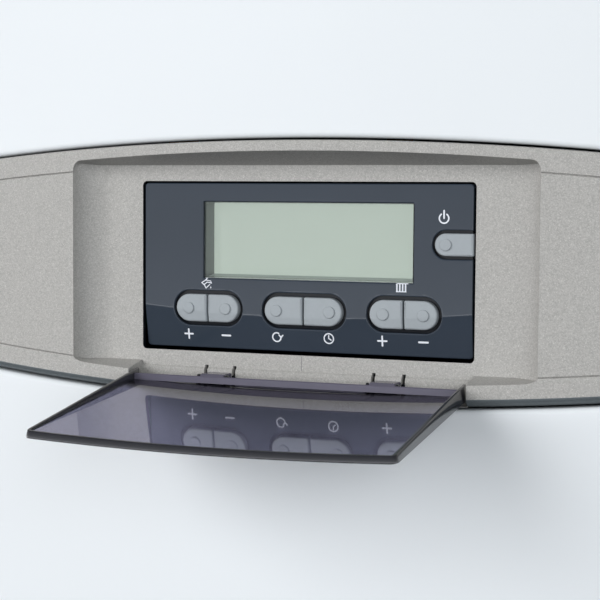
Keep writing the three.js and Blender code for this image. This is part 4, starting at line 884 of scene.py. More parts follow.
@dataclass
class Shape:
    """Faces over points, gathered before they become one mesh.

    Args:
        place: what turns a point into a place in the frame's metres.
        points: the points so far.
        faces: each face's points, and its material slot.
    """

    place: Callable[[Point], Vector] = in_band
    points: list[Point] = field(default_factory=list)
    faces: list[tuple[tuple[int, ...], int]] = field(default_factory=list)

    def add(self, points: Iterable[Point]) -> list[int]:
        """Adds points.

        Args:
            points: the points.

        Returns:
            Their numbers.
        """
        start = len(self.points)
        self.points.extend(points)
        return list(range(start, len(self.points)))

    def face(self, indices: Sequence[int], slot: int = 0) -> None:
        """Adds one face."""
        self.faces.append((tuple(indices), slot))

    def grid(self, columns: Sequence[Sequence[Point]], slot: Callable[[int, int], int | None] = lambda i, j: 0,
             closed: bool = False) -> list[list[int]]:
        """Faces between neighbouring columns of points.

        Args:
            columns: columns of equally many points.
            slot: the material slot of the face at a column and row, or None for a hole.
            closed: whether the last point of each column joins the first.

        Returns:
            The numbers of each column's points.
        """
        rings = [self.add(column) for column in columns]
        count = len(columns[0])
        for i, (left, right) in enumerate(zip(rings, rings[1:])):
            for j in range(count if closed else count - 1):
                number = slot(i, j)
                if number is not None:
                    k = (j + 1) % count
                    self.face((left[j], right[j], right[k], left[k]), number)
        return rings

    def bar(self, sections: Sequence[Sequence[Point]], slot: int = 0) -> None:
        """A solid bar through closed sections, with both of its ends.

        Args:
            sections: rings of equally many points, from end to end.
            slot: its material slot.
        """
        rings = self.grid(sections, lambda i, j: slot, closed=True)
        self.face(rings[0], slot)
        self.face(rings[-1], slot)

    def build(self, name: str, materials: Sequence[bpy.types.Material], smooth: float = 32.0) -> bpy.types.Object:
        """Makes the object, with doubles merged and normals outward.

        Args:
            name: its name.
            materials: its material slots.
            smooth: edges sharper than this many degrees stay sharp.

        Returns:
            The object.
        """
        mesh = bpy.data.meshes.new(name)
        mesh.from_pydata([self.place(p) for p in self.points], [], [f for f, _ in self.faces])
        for polygon, (_, slot) in zip(mesh.polygons, self.faces):
            polygon.material_index = slot
        obj = bpy.data.objects.new(name, mesh)
        bpy.context.scene.collection.objects.link(obj)
        for material in materials:
            mesh.materials.append(material)
        clean(obj)
        smoothed(obj, smooth)
        return weighted(obj)


def clean(obj: bpy.types.Object, merge: float = 1e-6) -> None:
    """Merges doubles, drops empty faces and turns normals outward.

    Args:
        obj: the object.
        merge: points nearer than this many metres are one.
    """
    made = bmesh.new()
    made.from_mesh(obj.data)
    bmesh.ops.remove_doubles(made, verts=made.verts, dist=merge)
    bmesh.ops.dissolve_degenerate(made, edges=made.edges, dist=merge)
    bmesh.ops.recalc_face_normals(made, faces=made.faces)
    made.to_mesh(obj.data)
    made.free()


def smoothed(obj: bpy.types.Object, degrees: float) -> None:
    """Shades an object smooth, with its sharper edges kept.

    Args:
        obj: the object.
        degrees: the least angle of an edge that stays sharp.
    """
    obj.data.shade_smooth()
    made = bmesh.new()
    made.from_mesh(obj.data)
    limit = math.radians(degrees)
    for edge in made.edges:
        edge.smooth = len(edge.link_faces) == 2 and edge.calc_face_angle() < limit
    made.to_mesh(obj.data)
    made.free()


def applied(obj: bpy.types.Object) -> bpy.types.Object:
    """Applies an object's modifiers.

    Args:
        obj: the object.

    Returns:
        The same object.
    """
    bpy.context.view_layer.update()
    graph = bpy.context.evaluated_depsgraph_get()
    mesh = bpy.data.meshes.new_from_object(obj.evaluated_get(graph))
    obj.modifiers.clear()
    obj.data = mesh
    return obj


def bevelled(obj: bpy.types.Object, width: float) -> bpy.types.Object:
    """Rounds an object's sharp edges.

    Args:
        obj: the object.
        width: the rounding in millimetres.

    Returns:
        The same object.
    """
    bevel = obj.modifiers.new("round", "BEVEL")
    bevel.width = width * MM
    bevel.segments = 2
    bevel.limit_method = "ANGLE"
    bevel.angle_limit = math.radians(30.0)
    bevel.use_clamp_overlap = True
    bevel.harden_normals = False
    applied(obj)
    smoothed(obj, 40.0)
    return obj


def weighted(obj: bpy.types.Object) -> bpy.types.Object:
    """Keeps an object's large flats flat beside their rounded edges.

    Args:
        obj: the object.

    Returns:
        The same object.
    """
    weigh = obj.modifiers.new("flats", "WEIGHTED_NORMAL")
    weigh.mode = "FACE_AREA"
    weigh.weight = 90
    weigh.keep_sharp = True
    return applied(obj)


def arc_points(centre: Flat, radius: float, first: float, last: float, count: int) -> Loop:
    """Points round an arc.

    Args:
        centre: its centre.
        radius: its radius.
        first: the angle of its first point, in degrees.
        last: the angle of its last.
        count: the number of steps between them.

    Returns:
        The points, one more than the steps.
    """
    return [
        (centre[0] + radius * math.cos(math.radians(a)), centre[1] + radius * math.sin(math.radians(a)))
        for a in spread(first, last, count)
    ]


def rounded_box(x0: float, x1: float, z0: float, z1: float, radius: float, count: int = 6) -> Loop:
    """A rectangle with rounded corners.

    Args:
        x0: its left edge.
        x1: its right edge.
        z0: its lower edge.
        z1: its upper edge.
        radius: the radius of its corners.
        count: the steps round each corner.

    Returns:
        Its outline.
    """
    corners = (((x1 - radius, z1 - radius), 0), ((x0 + radius, z1 - radius), 90),
               ((x0 + radius, z0 + radius), 180), ((x1 - radius, z0 + radius), 270))
    return [p for centre, start in corners for p in arc_points(centre, radius, start, start + 90, count)]


def pill(span: Flat, half: float, z: float, round_left: bool = True, round_right: bool = True,
         corner: float = 0.4) -> Loop:
    """A bar with round or nearly square ends.

    Args:
        span: its left and right end.
        half: half its height.
        z: its middle's height.
        round_left: whether its left end is round.
        round_right: whether its right end is round.
        corner: the radius of a square end's corners.

    Returns:
        Its outline.
    """
    left = half if round_left else corner
    right = half if round_right else corner
    loop: Loop = []
    for centre_x, radius, start, sign in ((span[1] - right, right, 0, 1), (span[0] + left, left, 90, 1),
                                          (span[0] + left, left, 180, -1), (span[1] - right, right, 270, -1)):
        count = 14 if radius == half else 3
        loop += arc_points((centre_x, z + sign * (half - radius)), radius, start, start + 90, count)
    return loop


def filled(name: str, loops: Sequence[Loop], thickness: float, round_by: float) -> bpy.types.Object:
    """A flat plate about z = 0, from a filled curve.

    Args:
        name: its name.
        loops: its outline and its holes.
        thickness: its thickness.
        round_by: the radius of its edges.

    Returns:
        The object.
    """
    curve = bpy.data.curves.new(name, "CURVE")
    curve.dimensions = "2D"
    curve.fill_mode = "BOTH"
    curve.extrude = (thickness / 2 - round_by) * MM
    curve.bevel_depth = round_by * MM
    curve.bevel_resolution = 3
    curve.offset = -round_by * MM
    for loop in loops:
        spline = curve.splines.new("POLY")
        spline.points.add(len(loop) - 1)
        for point, (x, z) in zip(spline.points, loop):
            point.co = (x * MM, z * MM, 0.0, 1.0)
        spline.use_cyclic_u = True
    source = bpy.data.objects.new(name, curve)
    bpy.context.scene.collection.objects.link(source)
    bpy.context.view_layer.update()
    mesh = bpy.data.meshes.new_from_object(source.evaluated_get(bpy.context.evaluated_depsgraph_get()))
    bpy.data.objects.remove(source)
    obj = bpy.data.objects.new(name, mesh)
    bpy.context.scene.collection.objects.link(obj)
    return obj


def plate(name: str, loops: Sequence[Loop], depths: Flat, round_by: float, material: bpy.types.Material,
          settle: bool = True, cuts: float = 3.0) -> bpy.types.Object:
    """A plate with holes and rounded edges, laid on the controller's slanting face.

    Args:
        name: the object's name.
        loops: its outline and its holes, in [x, z].
        depths: its back and front.
        round_by: the radius of its edges.
        material: its finish.
        settle: whether it follows the slant below the crease.
        cuts: width of the strips that it is cut into for the slant.

    Returns:
        The object.
    """
    obj = filled(name, loops, depths[1] - depths[0], round_by)
    made = bmesh.new()
    made.from_mesh(obj.data)
    bmesh.ops.remove_doubles(made, verts=made.verts, dist=WELD)
    if settle:
        cut_for_slant(made, loops[0], cuts)
    middle = (depths[0] + depths[1]) / 2
    for vertex in made.verts:
        x, z, d = (c / MM for c in vertex.co)
        point = (x, middle + d, z)
        vertex.co = in_band(CONTROLLER.settle(point) if settle else point)
    bmesh.ops.recalc_face_normals(made, faces=made.faces)
    made.to_mesh(obj.data)
    made.free()
    obj.data.materials.clear()
    obj.data.materials.append(material)
    smoothed(obj, 40.0)
    return weighted(obj)


def cut_for_slant(made: bmesh.types.BMesh, outline: Loop, width: float) -> None:
    """Cuts a flat plate into strips, and each strip along the crease, so that it can slant there.

    Args:
        made: the plate's mesh.
        outline: the plate's outline.
        width: the strips' width, about.
    """
    left = min(x for x, _ in outline)
    right = max(x for x, _ in outline)
    count = max(1, round((right - left) / width))
    lines = spread(left, right, count)

    def bisect(faces: Iterable[bmesh.types.BMFace], at: Vector, normal: Vector) -> None:
        """Cuts faces along a plane.

        Args:
            faces: the faces.
            at: a point on the plane.
            normal: the plane's normal.
        """
        chosen = list(faces)
        edges = {e for f in chosen for e in f.edges}
        verts = {v for f in chosen for v in f.verts}
        bmesh.ops.bisect_plane(made, geom=[*chosen, *edges, *verts], dist=1e-7, plane_co=at, plane_no=normal)

    for x in lines[1:-1]:
        bisect(made.faces, Vector((x * MM, 0, 0)), Vector((1, 0, 0)))
    for x0, x1 in zip(lines, lines[1:]):
        inside = [f for f in made.faces if x0 * MM < f.calc_center_median().x < x1 * MM]
        z0, z1 = CONTROLLER.fold(x0), CONTROLLER.fold(x1)
        for shift in spread(-CONTROLLER.crease_round, CONTROLLER.crease_round, 3):
            bisect(inside, Vector((x0 * MM, (z0 + shift) * MM, 0)), Vector((z0 - z1, x1 - x0, 0)).normalized())
            inside = [f for f in made.faces if x0 * MM < f.calc_center_median().x < x1 * MM]


# ------------------------------------------------------------------ pieces of the control band


class Section(Enum):
    """Kinds of section across the band."""

    PLAIN = "plain"
    NOTCH = "notch"
    SLOT = "slot"


class BandSlot(IntEnum):
    """Material slots of the band's moulding."""

    SILVER = 0
    # the turned lower strip: a darker copy of the silver, painted shade
    PAINTED_SHADE_EDGE = 1
    # near-black painted shade on the opening's edges and in the hinge slots
    PAINTED_SHADE = 2
    SEAM = 3
    KNUCKLE = 4


@dataclass(frozen=True)
class Fascia:
    """The silver band: rim, side panels, scooped recess, flap notch and hinge knuckles in one moulding.

    Its sections are drawn from the back of the lower edge, over the front, to the back of the upper
    edge. Rows count the faces between their points.

    Args:
        slot_half: half the width of a hinge slot.
        slots: x of the hinge slots.
        strip: the height of the turned strip along the lower edge.
        notch_strip: the same at the notch.
        strip_rows: the rows of that strip.
        slot_rows: the rows inside a hinge slot.
        opening_rows: the rows of the controller's opening.
        opening_depth: how deep the opening's edges are.
    """

    slot_half: float = 0.8
    slots: tuple[float, ...] = tuple(sorted(x + side * FLAP.ear_spread for x in FLAP.lugs for side in (-1, 1)))
    strip: float = 3.4
    notch_strip: float = 0.6
    strip_rows: range = range(0, 7)
    slot_rows: range = range(8, 12)
    opening_rows: range = range(15, 23)
    opening_depth: float = -2.5

    def columns(self) -> list[tuple[float, Section]]:
        """Every x that the section is drawn at.

        Returns:
            Each x, with the kind of section there, from left to right.
        """
        b = BAND
        beyond = spread(b.half, b.recess_half, 34)[:-1]
        scoop = [b.recess_half - (b.recess_half - b.floor_half) * (1 - math.cos(math.radians(a)))
                 for a in spread(0, 90, 16)]
        side = [*beyond, *scoop, *spread(b.floor_half, b.notch_half + 0.4, 6)[1:], b.notch_half]
        edges = [-b.notch_half, *(x + way * self.slot_half for x in self.slots for way in (-1, 1)), b.notch_half]
        inner = []
        for i, (x0, x1) in enumerate(zip(edges, edges[1:])):
            kind = Section.SLOT if i % 2 else Section.NOTCH
            inner += [(x, kind) for x in spread(x0, x1, max(1, round((x1 - x0) / 4)))]
        inner += [(x, Section.NOTCH) for x in b.opening_sides]
        inner.sort(key=lambda column: column[0])
        return [*((-x, Section.PLAIN) for x in side), *inner, *((x, Section.PLAIN) for x in reversed(side))]

    def profile(self, x: float, kind: Section) -> list[Point]:
        """The section at one x.

        Args:
            x: the place across the band.
            kind: the kind of section.

        Returns:
            Its points.
        """
        b = BAND
        front, low, high = b.front(x), b.bottom(x), b.top(x)
        strip = self.strip if kind is Section.PLAIN else self.notch_strip
        points: list[Flat] = [(b.back, low)]
        points += [(front - 6 + 6 * math.sin(math.radians(a)), low + strip * (1 - math.cos(math.radians(a))))
                   for a in spread(0, 90, 6)]
        points += self.lower_wall(x, kind, front, low + strip)
        points += [(b.floor(x), z) for z in self.floor_rows(x)]
        points += reversed(self.wall(x, True))
        points += [(front, high - 1.0), (front - 0.3, high - 0.3), (front - 1.0, high), (b.back, high)]
        return [(x, d, z) for d, z in points]

    @staticmethod
    def wall(x: float, upper: bool) -> list[Flat]:
        """The recess's wall, or the joint line beyond the recess.

        Args:
            x: the place across the band.
            upper: whether it is the upper one.

        Returns:
            Six points from the front edge to the floor.
        """
        b = BAND
        front, floor = b.front(x), b.floor(x)
        sign = 1 if upper else -1
        if abs(x) >= b.recess_half:
            line = b.top(x) - b.groove_top if upper else b.bottom(x) + b.groove_bottom
            return [(front, line + sign * 0.35), (front - 0.15, line + sign * 0.22),
                    (front - 1.0, line + sign * 0.2), (front - 1.0, line - sign * 0.2),
                    (front - 0.15, line - sign * 0.22), (front, line - sign * 0.35)]
        rim = b.rim(x, upper)
        base = b.floor_rise if upper else b.floor_fall
        level = (b.recess_rise if upper else b.recess_fall) - sag(b.recess_arc, x)
        edge = sign * (base + floor / b.lead * (level - base))
        edge = min(edge, rim - 0.1) if upper else max(edge, rim + 0.1)
        soft = min(1, front - floor)
        return [(front, rim + sign * 0.35), (front - 0.15 * soft, rim + sign * 0.1), (front - 0.4 * soft, rim),
                (floor + 0.45 * soft, edge), (floor + 0.12 * soft, edge - sign * 0.12),
                (floor, edge - sign * 0.45)]

    def lower_wall(self, x: float, kind: Section, front: float, lip: float) -> list[Flat]:
        """The wall below the floor, which the notch and the hinge slots cut into.

        Args:
            x: the place across the band.
            kind: the kind of section.
            front: the depth of the band's face.
            lip: the height of the lower strip's top.

        Returns:
            Six points from the strip to the floor.
        """
        if kind is Section.PLAIN:
            return self.wall(x, False)
        rail, edge = BAND.rail, -BAND.ledge
        start = [(front, lip), (rail, lip)]
        if kind is Section.SLOT:
            return [*start, (rail, edge - 3.2), (-2.0, edge - 3.0), (-2.0, edge + 0.7), (0.0, edge + 0.9)]
        return [*start, (rail, edge - 1.15), (rail - 0.25, edge - 0.75), (0.5, edge - 0.3), (0.0, edge)]

    @staticmethod
    def floor_rows(x: float) -> list[float]:
        """Heights of the floor's rows, which keep level with the controller's opening inside the recess.

        Args:
            x: the place across the band.

        Returns:
            The heights, from the lowest.
        """
        b = BAND
        rows = [-39.0, b.opening[0], -28, -19, -9, 0, 9, 19, 28, b.opening[1], 40.2]
        reach = max(abs(x), b.recess_half)
        high = (b.top(reach) - b.groove_top) / (b.top(b.recess_half) - b.groove_top)
        low = (b.bottom(reach) + b.groove_bottom) / (b.bottom(b.recess_half) + b.groove_bottom)
        return [z * (high if z > 0 else low) for z in rows]

    def build(self, finishes: Finishes) -> bpy.types.Object:
        """The whole moulding.

        Args:
            finishes: the materials.

        Returns:
            The object.
        """
        b = BAND
        shape = Shape()
        columns = self.columns()

        def slot(i: int, j: int) -> int | None:
            """The finish of a face.

            Args:
                i: its column.
                j: its row.

            Returns:
                The material slot, or None in the controller's opening.
            """
            middle = (columns[i][0] + columns[i + 1][0]) / 2
            if b.opening_sides[0] < middle < b.opening_sides[1] and j in self.opening_rows:
                return None
            # the turned lower strip and the band's back get the darker silver, a painted shade
            if j in self.strip_rows and (abs(middle) > b.notch_half or j < 1):
                return BandSlot.PAINTED_SHADE_EDGE
            # the hinge slots get near-black painted shade
            if columns[i][1] is columns[i + 1][1] is Section.SLOT and j in self.slot_rows:
                return BandSlot.PAINTED_SHADE
            return BandSlot.SILVER

        rings = shape.grid([self.profile(x, kind) for x, kind in columns], slot)
        for ring in (rings[0], rings[-1]):
            shape.face(ring, BandSlot.SILVER)
        self.opening(shape)
        low, high = b.opening[0] - 0.3, -b.ledge + 0.2
        seam = [(x, 0.02, z) for x, z in ((-0.15, low), (0.15, low), (0.15, high), (-0.15, high))]
        shape.face(shape.add(seam), BandSlot.SEAM)
        self.knuckles(shape)
        # the second and third finishes are painted shade: darker silver and near-black
        names = ("silver", "band_edge_painted_shade", "well", "seam", "root")
        return shape.build("band_moulding", [finishes[name] for name in names], 34.0)

    def opening(self, shape: Shape) -> None:
        """The edges and rounded corners of the controller's opening; the edges are near-black, a painted shade.

        Args:
            shape: the moulding.
        """
        b = BAND
        depths = (0.0, self.opening_depth)
        for z in b.opening:
            shape.grid([[(x, d, z) for x in b.opening_sides] for d in depths], lambda i, j: BandSlot.PAINTED_SHADE)
        for x in b.opening_sides:
            shape.grid([[(x, d, z) for z in b.opening] for d in depths], lambda i, j: BandSlot.PAINTED_SHADE)
        for x, inward in zip(b.opening_sides, (1, -1)):
            for z, up in zip(b.opening, (1, -1)):
                centre = (x + inward * b.opening_corner, z + up * b.opening_corner)
                bend = arc_points(centre, b.opening_corner, -90 * up, -90 * up - 90 * up * inward, 8)
                corner = [(x, 0.0, z), *((px, 0.0, pz) for px, pz in bend)]
                shape.face(shape.add(corner), BandSlot.SILVER)

    @staticmethod
    def knuckles(shape: Shape) -> None:
        """The two knuckles that carry the flap's pin.

        Args:
            shape: the moulding.
        """
        for x in FLAP.lugs:
            sections = []
            for side, radius in ((-1, 1.4), (-0.94, 1.7), (0.94, 1.7), (1, 1.4)):
                nose = arc_points((FLAP.pivot_depth, FLAP.pivot_z), radius, 90, -90, 12)
                ring = [(0.6, FLAP.pivot_z + radius), *nose, (0.6, FLAP.pivot_z - radius)]
                sections.append([(x + side * FLAP.lug_half, d, z) for d, z in ring])
            shape.bar(sections, BandSlot.KNUCKLE)


class ControllerFace:
    """The controller's glossy housing, its wells with near-black floors as painted shade, its display tube and the
    tube's pale lower slope as painted light.
    """

    def __init__(self, finishes: Finishes) -> None:
        """Keeps the materials."""
        self.finishes = finishes

    @staticmethod
    def wells(grow: float) -> list[Loop]:
        """Outlines round the three pairs of buttons.

        Args:
            grow: the gap between a button and its outline.

        Returns:
            The outlines, from left to right.
        """
        return [
            pill((left.span[0] - grow, right.span[1] + grow), left.half + grow, left.z)
            for left, right in zip(KEYS[0:6:2], KEYS[1:6:2])
        ]

    @staticmethod
    def box(inset: float, corner: float) -> Loop:
        """The housing's front edge, moved inwards."""
        c = CONTROLLER
        return rounded_box(c.left + inset, c.right - inset, c.bottom + inset, c.top - inset, corner)

    @staticmethod
    def display_box(grow: float, corner: float) -> Loop:
        """The display's edge, moved outwards."""
        x0, x1, z0, z1 = CONTROLLER.display
        return rounded_box(x0 - grow, x1 + grow, z0 - grow, z1 + grow, corner, 3)

    def outline(self) -> Loop:
        """The housing's front outline, with the power button's bay in its right side.

        Returns:
            The outline.
        """
        c = CONTROLLER
        power = POWER_KEY
        half = power.half + c.well - 0.3
        bay = arc_points((power.span[0] + power.half, power.z), half, 270, 90, 18)
        return [(c.right, power.z - half), *bay, (c.right, power.z + half), *self.box(0.0, c.corner)]

    def build(self) -> list[bpy.types.Object]:
        """The housing and what shows through it.

        Returns:
            The front, then the other pieces.
        """
        c = CONTROLLER
        power = POWER_KEY
        panel, well, tube = (self.finishes[name] for name in ("panel", "well", "tube"))
        floor = (c.well_floor, -c.wall + 0.2)
        window = self.display_box(0.0, 0.5)
        parts = [
            plate("controller_face", [self.outline(), window, *self.wells(c.well)], (-c.wall, 0.0), 0.5, panel),
            plate("controller_walls", [self.box(0.0, c.corner), self.box(2.0, 1.0)], (-c.depth, -5.8), 0.1, panel,
                  False),
        ]
        # the wells' floors are near-black, painted shade in the gaps round the buttons
        for number, loop in enumerate(self.wells(c.well + 0.6)):
            parts.append(plate(f"button_well_painted_shade_{number + 1}", [loop], floor, 0.1, well))
        bay = pill((power.span[0] - 2, c.right - 0.6), power.half + 2, power.z, True, False)
        parts.append(plate("power_well_painted_shade", [bay], floor, 0.1, well, False))
        rims = [self.display_box(1.2, 1.0), self.display_box(-0.6, 0.4)]
        parts.append(plate("display_tube", rims, (-10.6, -1.5), 0.1, tube, False))
        parts.append(self.painted_light_sill())
        return parts

    def painted_light_sill(self) -> bpy.types.Object:
        """The pale slope below the display: the tube's lower wall, painted paler than the tube where light falls on
        it, as painted light.

        Returns:
            The object.
        """
        x0, x1, z0, _ = CONTROLLER.display
        section = ((-1.4, z0 - 0.2), (-1.4, z0 + 0.25), (-10.3, z0 + 1.5), (-10.3, z0 - 0.2))
        shape = Shape()
        shape.bar([[(x, d, z) for d, z in section] for x in (x0 + 0.2, x1 - 0.2)])
        return shape.build("display_sill_painted_light", [self.finishes["painted_light_sill"]])


@dataclass
class Sign:
    """A printed sign drawn in strokes.

    Args:
        kind: which sign it is.
        x: its middle.
        z: its middle.
    """

    kind: Print
    x: float
    z: float

    def strokes(self) -> list[tuple[Loop, bool, float]]:
        """The sign's strokes.

        Returns:
            Each stroke's centre line about the middle, whether it is closed, and its width.
        """
        draw = {
            Print.PLUS: [([(-1.9, 0), (1.9, 0)], False, 0.75), ([(0, -2.0), (0, 2.0)], False, 0.75)],
            Print.MINUS: [([(-1.9, 0), (1.9, 0)], False, 0.8)],
            Print.POWER: [(arc_points((0, 0), 2.0, 125, 415, 22), False, 0.62), ([(0, 0), (0, 3.1)], False, 0.7)],
            Print.RESET: [(arc_points((0, 0), 1.9, 60, 360, 22), False, 0.6),
                          ([(1.1, 0.95), (1.9, -0.1), (2.8, 0.85)], False, 0.6)],
            Print.CLOCK: [(arc_points((0, 0), 2.1, 0, 345, 23), True, 0.55),
                          ([(0, 1.3), (0, 0), (1.0, -0.6)], False, 0.5)],
            Print.RADIATOR: [
                *(([(x, -1.5), (x, 1.5)], False, 0.62) for x in (-2.1, -0.85, 0.4, 1.65)),
                ([(-2.3, 1.5), (-1.6, 1.75), (2.7, 1.75)], False, 0.4), ([(-2.3, -1.6), (1.9, -1.6)], False, 0.4)],
            Print.TAP: [
                ([(-2.3, 0.3), (-0.4, 1.5), (1.9, 1.1), (2.3, 0.2), (0.2, 0.6), (-1.2, -0.6)], True, 0.38),
                ([(-1.3, -0.2), (-0.3, -2.0), (1.5, -0.4)], False, 0.38),
                ([(-0.4, 1.5), (0.2, 2.2)], False, 0.5), ([(2.0, -1.5), (2.0, -1.9)], False, 0.45)],
        }
        return draw[self.kind]

    def build(self, material: bpy.types.Material) -> bpy.types.Object:
        """The sign as thin ink on the housing's face.

        Args:
            material: the ink.

        Returns:
            The object.
        """
        shape = Shape()
        for layer, (line, closed, width) in enumerate(self.strokes()):
            self.stroke(shape, line, closed, width / 2, 0.03 + 0.015 * layer)
        side = "l" if self.x < 0 else "r"
        return shape.build(f"sign_{self.kind.value}_{side}{abs(round(self.x))}", [material])

    def stroke(self, shape: Shape, line: Loop, closed: bool, half: float, proud: float) -> None:
        """One flat stroke along a line, mitred at its corners and rounded at its ends.

        Args:
            shape: the sign's shape.
            line: its centre line about the sign's middle.
            closed: whether its end joins its start.
            half: half its width.
            proud: how far it stands in front of the face.
        """
        points = [Vector((self.x + x, self.z + z)) for x, z in line]
        sides: list[tuple[Point, ...]] = []
        for i, point in enumerate(points):
            ways = []
            if i or closed:
                ways.append((point - points[i - 1]).normalized())
            if i < len(points) - 1 or closed:
                ways.append((points[(i + 1) % len(points)] - point).normalized())
            along = sum(ways, Vector((0, 0))).normalized()
            across = Vector((-along.y, along.x)) * half / max(0.5, along.dot(ways[0]))
            edges = (point + across, point - across)
            sides.append(tuple((edge.x, proud, edge.y) for edge in edges))
        if closed:
            sides.append(sides[0])
        shape.grid([[CONTROLLER.settle(p) for p in side] for side in sides])
        if closed:
            return
        for end, other in ((points[0], points[1]), (points[-1], points[-2])):
            out = end - other
            turn = math.degrees(math.atan2(out.y, out.x))
            cap = arc_points(end[:], half, turn - 90, turn + 90, 6)
            shape.face(shape.add(CONTROLLER.settle((x, proud, z)) for x, z in cap))


SIGNS = [
    Sign(Print.POWER, 61.9, 22.0), Sign(Print.PLUS, -53.5, -29.7), Sign(Print.MINUS, -35.6, -29.8),
    Sign(Print.RESET, -11.9, -29.6), Sign(Print.CLOCK, 11.8, -29.3), Sign(Print.PLUS, 35.5, -29.4),
    Sign(Print.MINUS, 53.3, -29.3), Sign(Print.TAP, -44.3, -7.4), Sign(Print.RADIATOR, 44.2, -6.9),
]


class Button:
    """A domed button with its raised disc."""

    def __init__(self, key: Key) -> None:
        """Keeps the button's measures."""
        self.key = key

    def build(self, finishes: Finishes) -> bpy.types.Object:
        """The cap, which carries its disc.

        Args:
            finishes: the materials.

        Returns:
            The cap.
        """
        key = self.key
        loop = pill(key.span, key.half, key.z, key.round_left, key.round_right, 0.5)
        cap = plate(f"{key.node}_cap", [loop], (-4.6, 1.0), 0.7, finishes["key"], cuts=2.0)
        disc = plate(f"{key.node}_disc", [arc_points((key.spot, key.z), 2.5, 0, 352, 40)], (0.0, 1.6), 0.35,
                     finishes["key"], cuts=1.0)
        disc.parent = cap
        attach(cap, key.body)
        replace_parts(cap, key.node)
        return cap


class FlapPieces:
    """The smoked flap: a clear bowed plate in a dark rim."""

    def build(self, finishes: Finishes) -> list[bpy.types.Object]:
        """Both pieces, in the open place.

        Args:
            finishes: the materials.

        Returns:
            The rim and the plate.
        """
        glass = self.plate_shape().build("flap_plate", [finishes["smoked"], finishes["root"]], 40.0)
        rim = self.rim_shape().build("flap_rim", [finishes["smoked_rim"]], 40.0)
        bevelled(rim, 0.35)
        for piece in (rim, glass):
            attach(piece, "flap_body")
        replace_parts(rim, "flap")
        return [rim, glass]

    @staticmethod
    def plate_shape() -> Shape:
        """The clear plate, with its turned root and the rib along it.

        Returns:
            The shape, with the rib in its second slot.
        """
        f = FLAP
        inner = f.half - f.rim + 0.2
        low = 6.0
        gaps = [x + side * edge for x in f.lugs for side in (-1, 1) for edge in (f.knuckle_gap, f.knuckle_gap + 0.05)]
        columns = []
        for x in sorted([*spread(-inner, inner, 48), *gaps]):
            tip, root = f.tip(x) - 0.9, f.lead(x, 0.0)
            outer = [(f.lead(x, z), z) for z in spread(tip, low, 6)]
            inside = [(f.lead(x, z) - f.plate, z) for z in spread(low, tip, 6)]
            turn = [(root * math.cos(math.radians(a)), 0.6 - (f.root - 0.2) * math.sin(math.radians(a)))
                    for a in spread(0, 84, 8)]
            back = [((root - f.plate) * math.cos(math.radians(a)),
                     0.6 - (f.root - 0.2 - f.plate) * math.sin(math.radians(a))) for a in spread(84, 0, 8)]
            if any(abs(x - lug) < f.knuckle_gap + 0.02 for lug in f.lugs):
                turn = [(root - f.plate * share, 2.7) for share in spread(0.0, 0.45, 8)]
                back = [(root - f.plate * share, 2.7) for share in spread(0.55, 1.0, 8)]
            columns.append([f.placed((x, d, z)) for d, z in (*outer, *turn, *back, *inside)])
        shape = Shape()
        shape.bar(columns)
        rib = []
        for x in (-inner, inner):
            foot = f.lead(x, 4.0) - f.plate + 0.25
            section = ((foot, 3.4), (foot - f.rib + 0.5, 3.6), (foot - f.rib, 4.0), (foot - f.rib + 0.4, 4.5),
                       (foot, 4.7))
            rib.append([f.placed((x, d, z)) for d, z in section])
        shape.bar(rib, 1)
        return shape

    @staticmethod
    def rim_path() -> list[tuple[float, float, float, float]]:
        """The outer edge that the rim follows, from the left root to the right.

        Returns:
            Each point's x, z, inward x and inward z.
        """
        f = FLAP
        corner_z = f.tip(f.half - f.corner) - f.corner
        path = [(-f.half, z, 1.0, 0.0) for z in spread(-0.5, corner_z - 0.4, 16)]
        for a in spread(180, 90, 6)[1:]:
            rad = math.radians(a)
            path.append((-f.half + f.corner + f.corner * math.cos(rad), corner_z + f.corner * math.sin(rad),
                         -math.cos(rad), -math.sin(rad)))
        path += [(x, f.edge(x), 0.0, -1.0) for x in spread(-f.half + f.corner, 0, 14)[1:]]
        return [*path, *((-x, z, -ix, iz) for x, z, ix, iz in reversed(path[:-1]))]

    def rim_shape(self) -> Shape:
        """The rim along both sides and the free edge, with its hinge ears and pins.

        Returns:
            The shape.
        """
        f = FLAP
        shape = Shape()
        columns = []
        for x, z, inward_x, inward_z in self.rim_path():
            share = max(0.0, min(1.0, z / f.tip(0)))
            height = lerp(f.rim_root, f.rim_tip, share)
            lead = f.lead(x, z) + 0.05
            section = [(0.0, lead), (f.rim, lead), (f.rim, lead - height), (f.draft, lead - height)]
            columns.append([f.placed((x + inward_x * w, d, z + inward_z * w)) for w, d in section])
        shape.bar(columns)
        round_end = arc_points((0.0, 0.0), 1.5, 90, 330, 16)
        for x in f.lugs:
            for side in (-1, 1):
                ear = [(f.root - 1.4, 3.0), *round_end, (f.root - 1.0, -1.6)]
                places = [x + side * (f.lug_half + edge - 0.1) for edge in (0.6, 1.6)]
                shape.bar([[f.placed((at, d, z)) for d, z in ear] for at in places])
            pin = arc_points((0.0, 0.0), 1.1, 0, 330, 11)
            places = [x + side * (f.lug_half + 1.5) for side in (-1, 1)]
            shape.bar([[f.placed((at, d, z)) for d, z in pin] for at in places])
        return shape


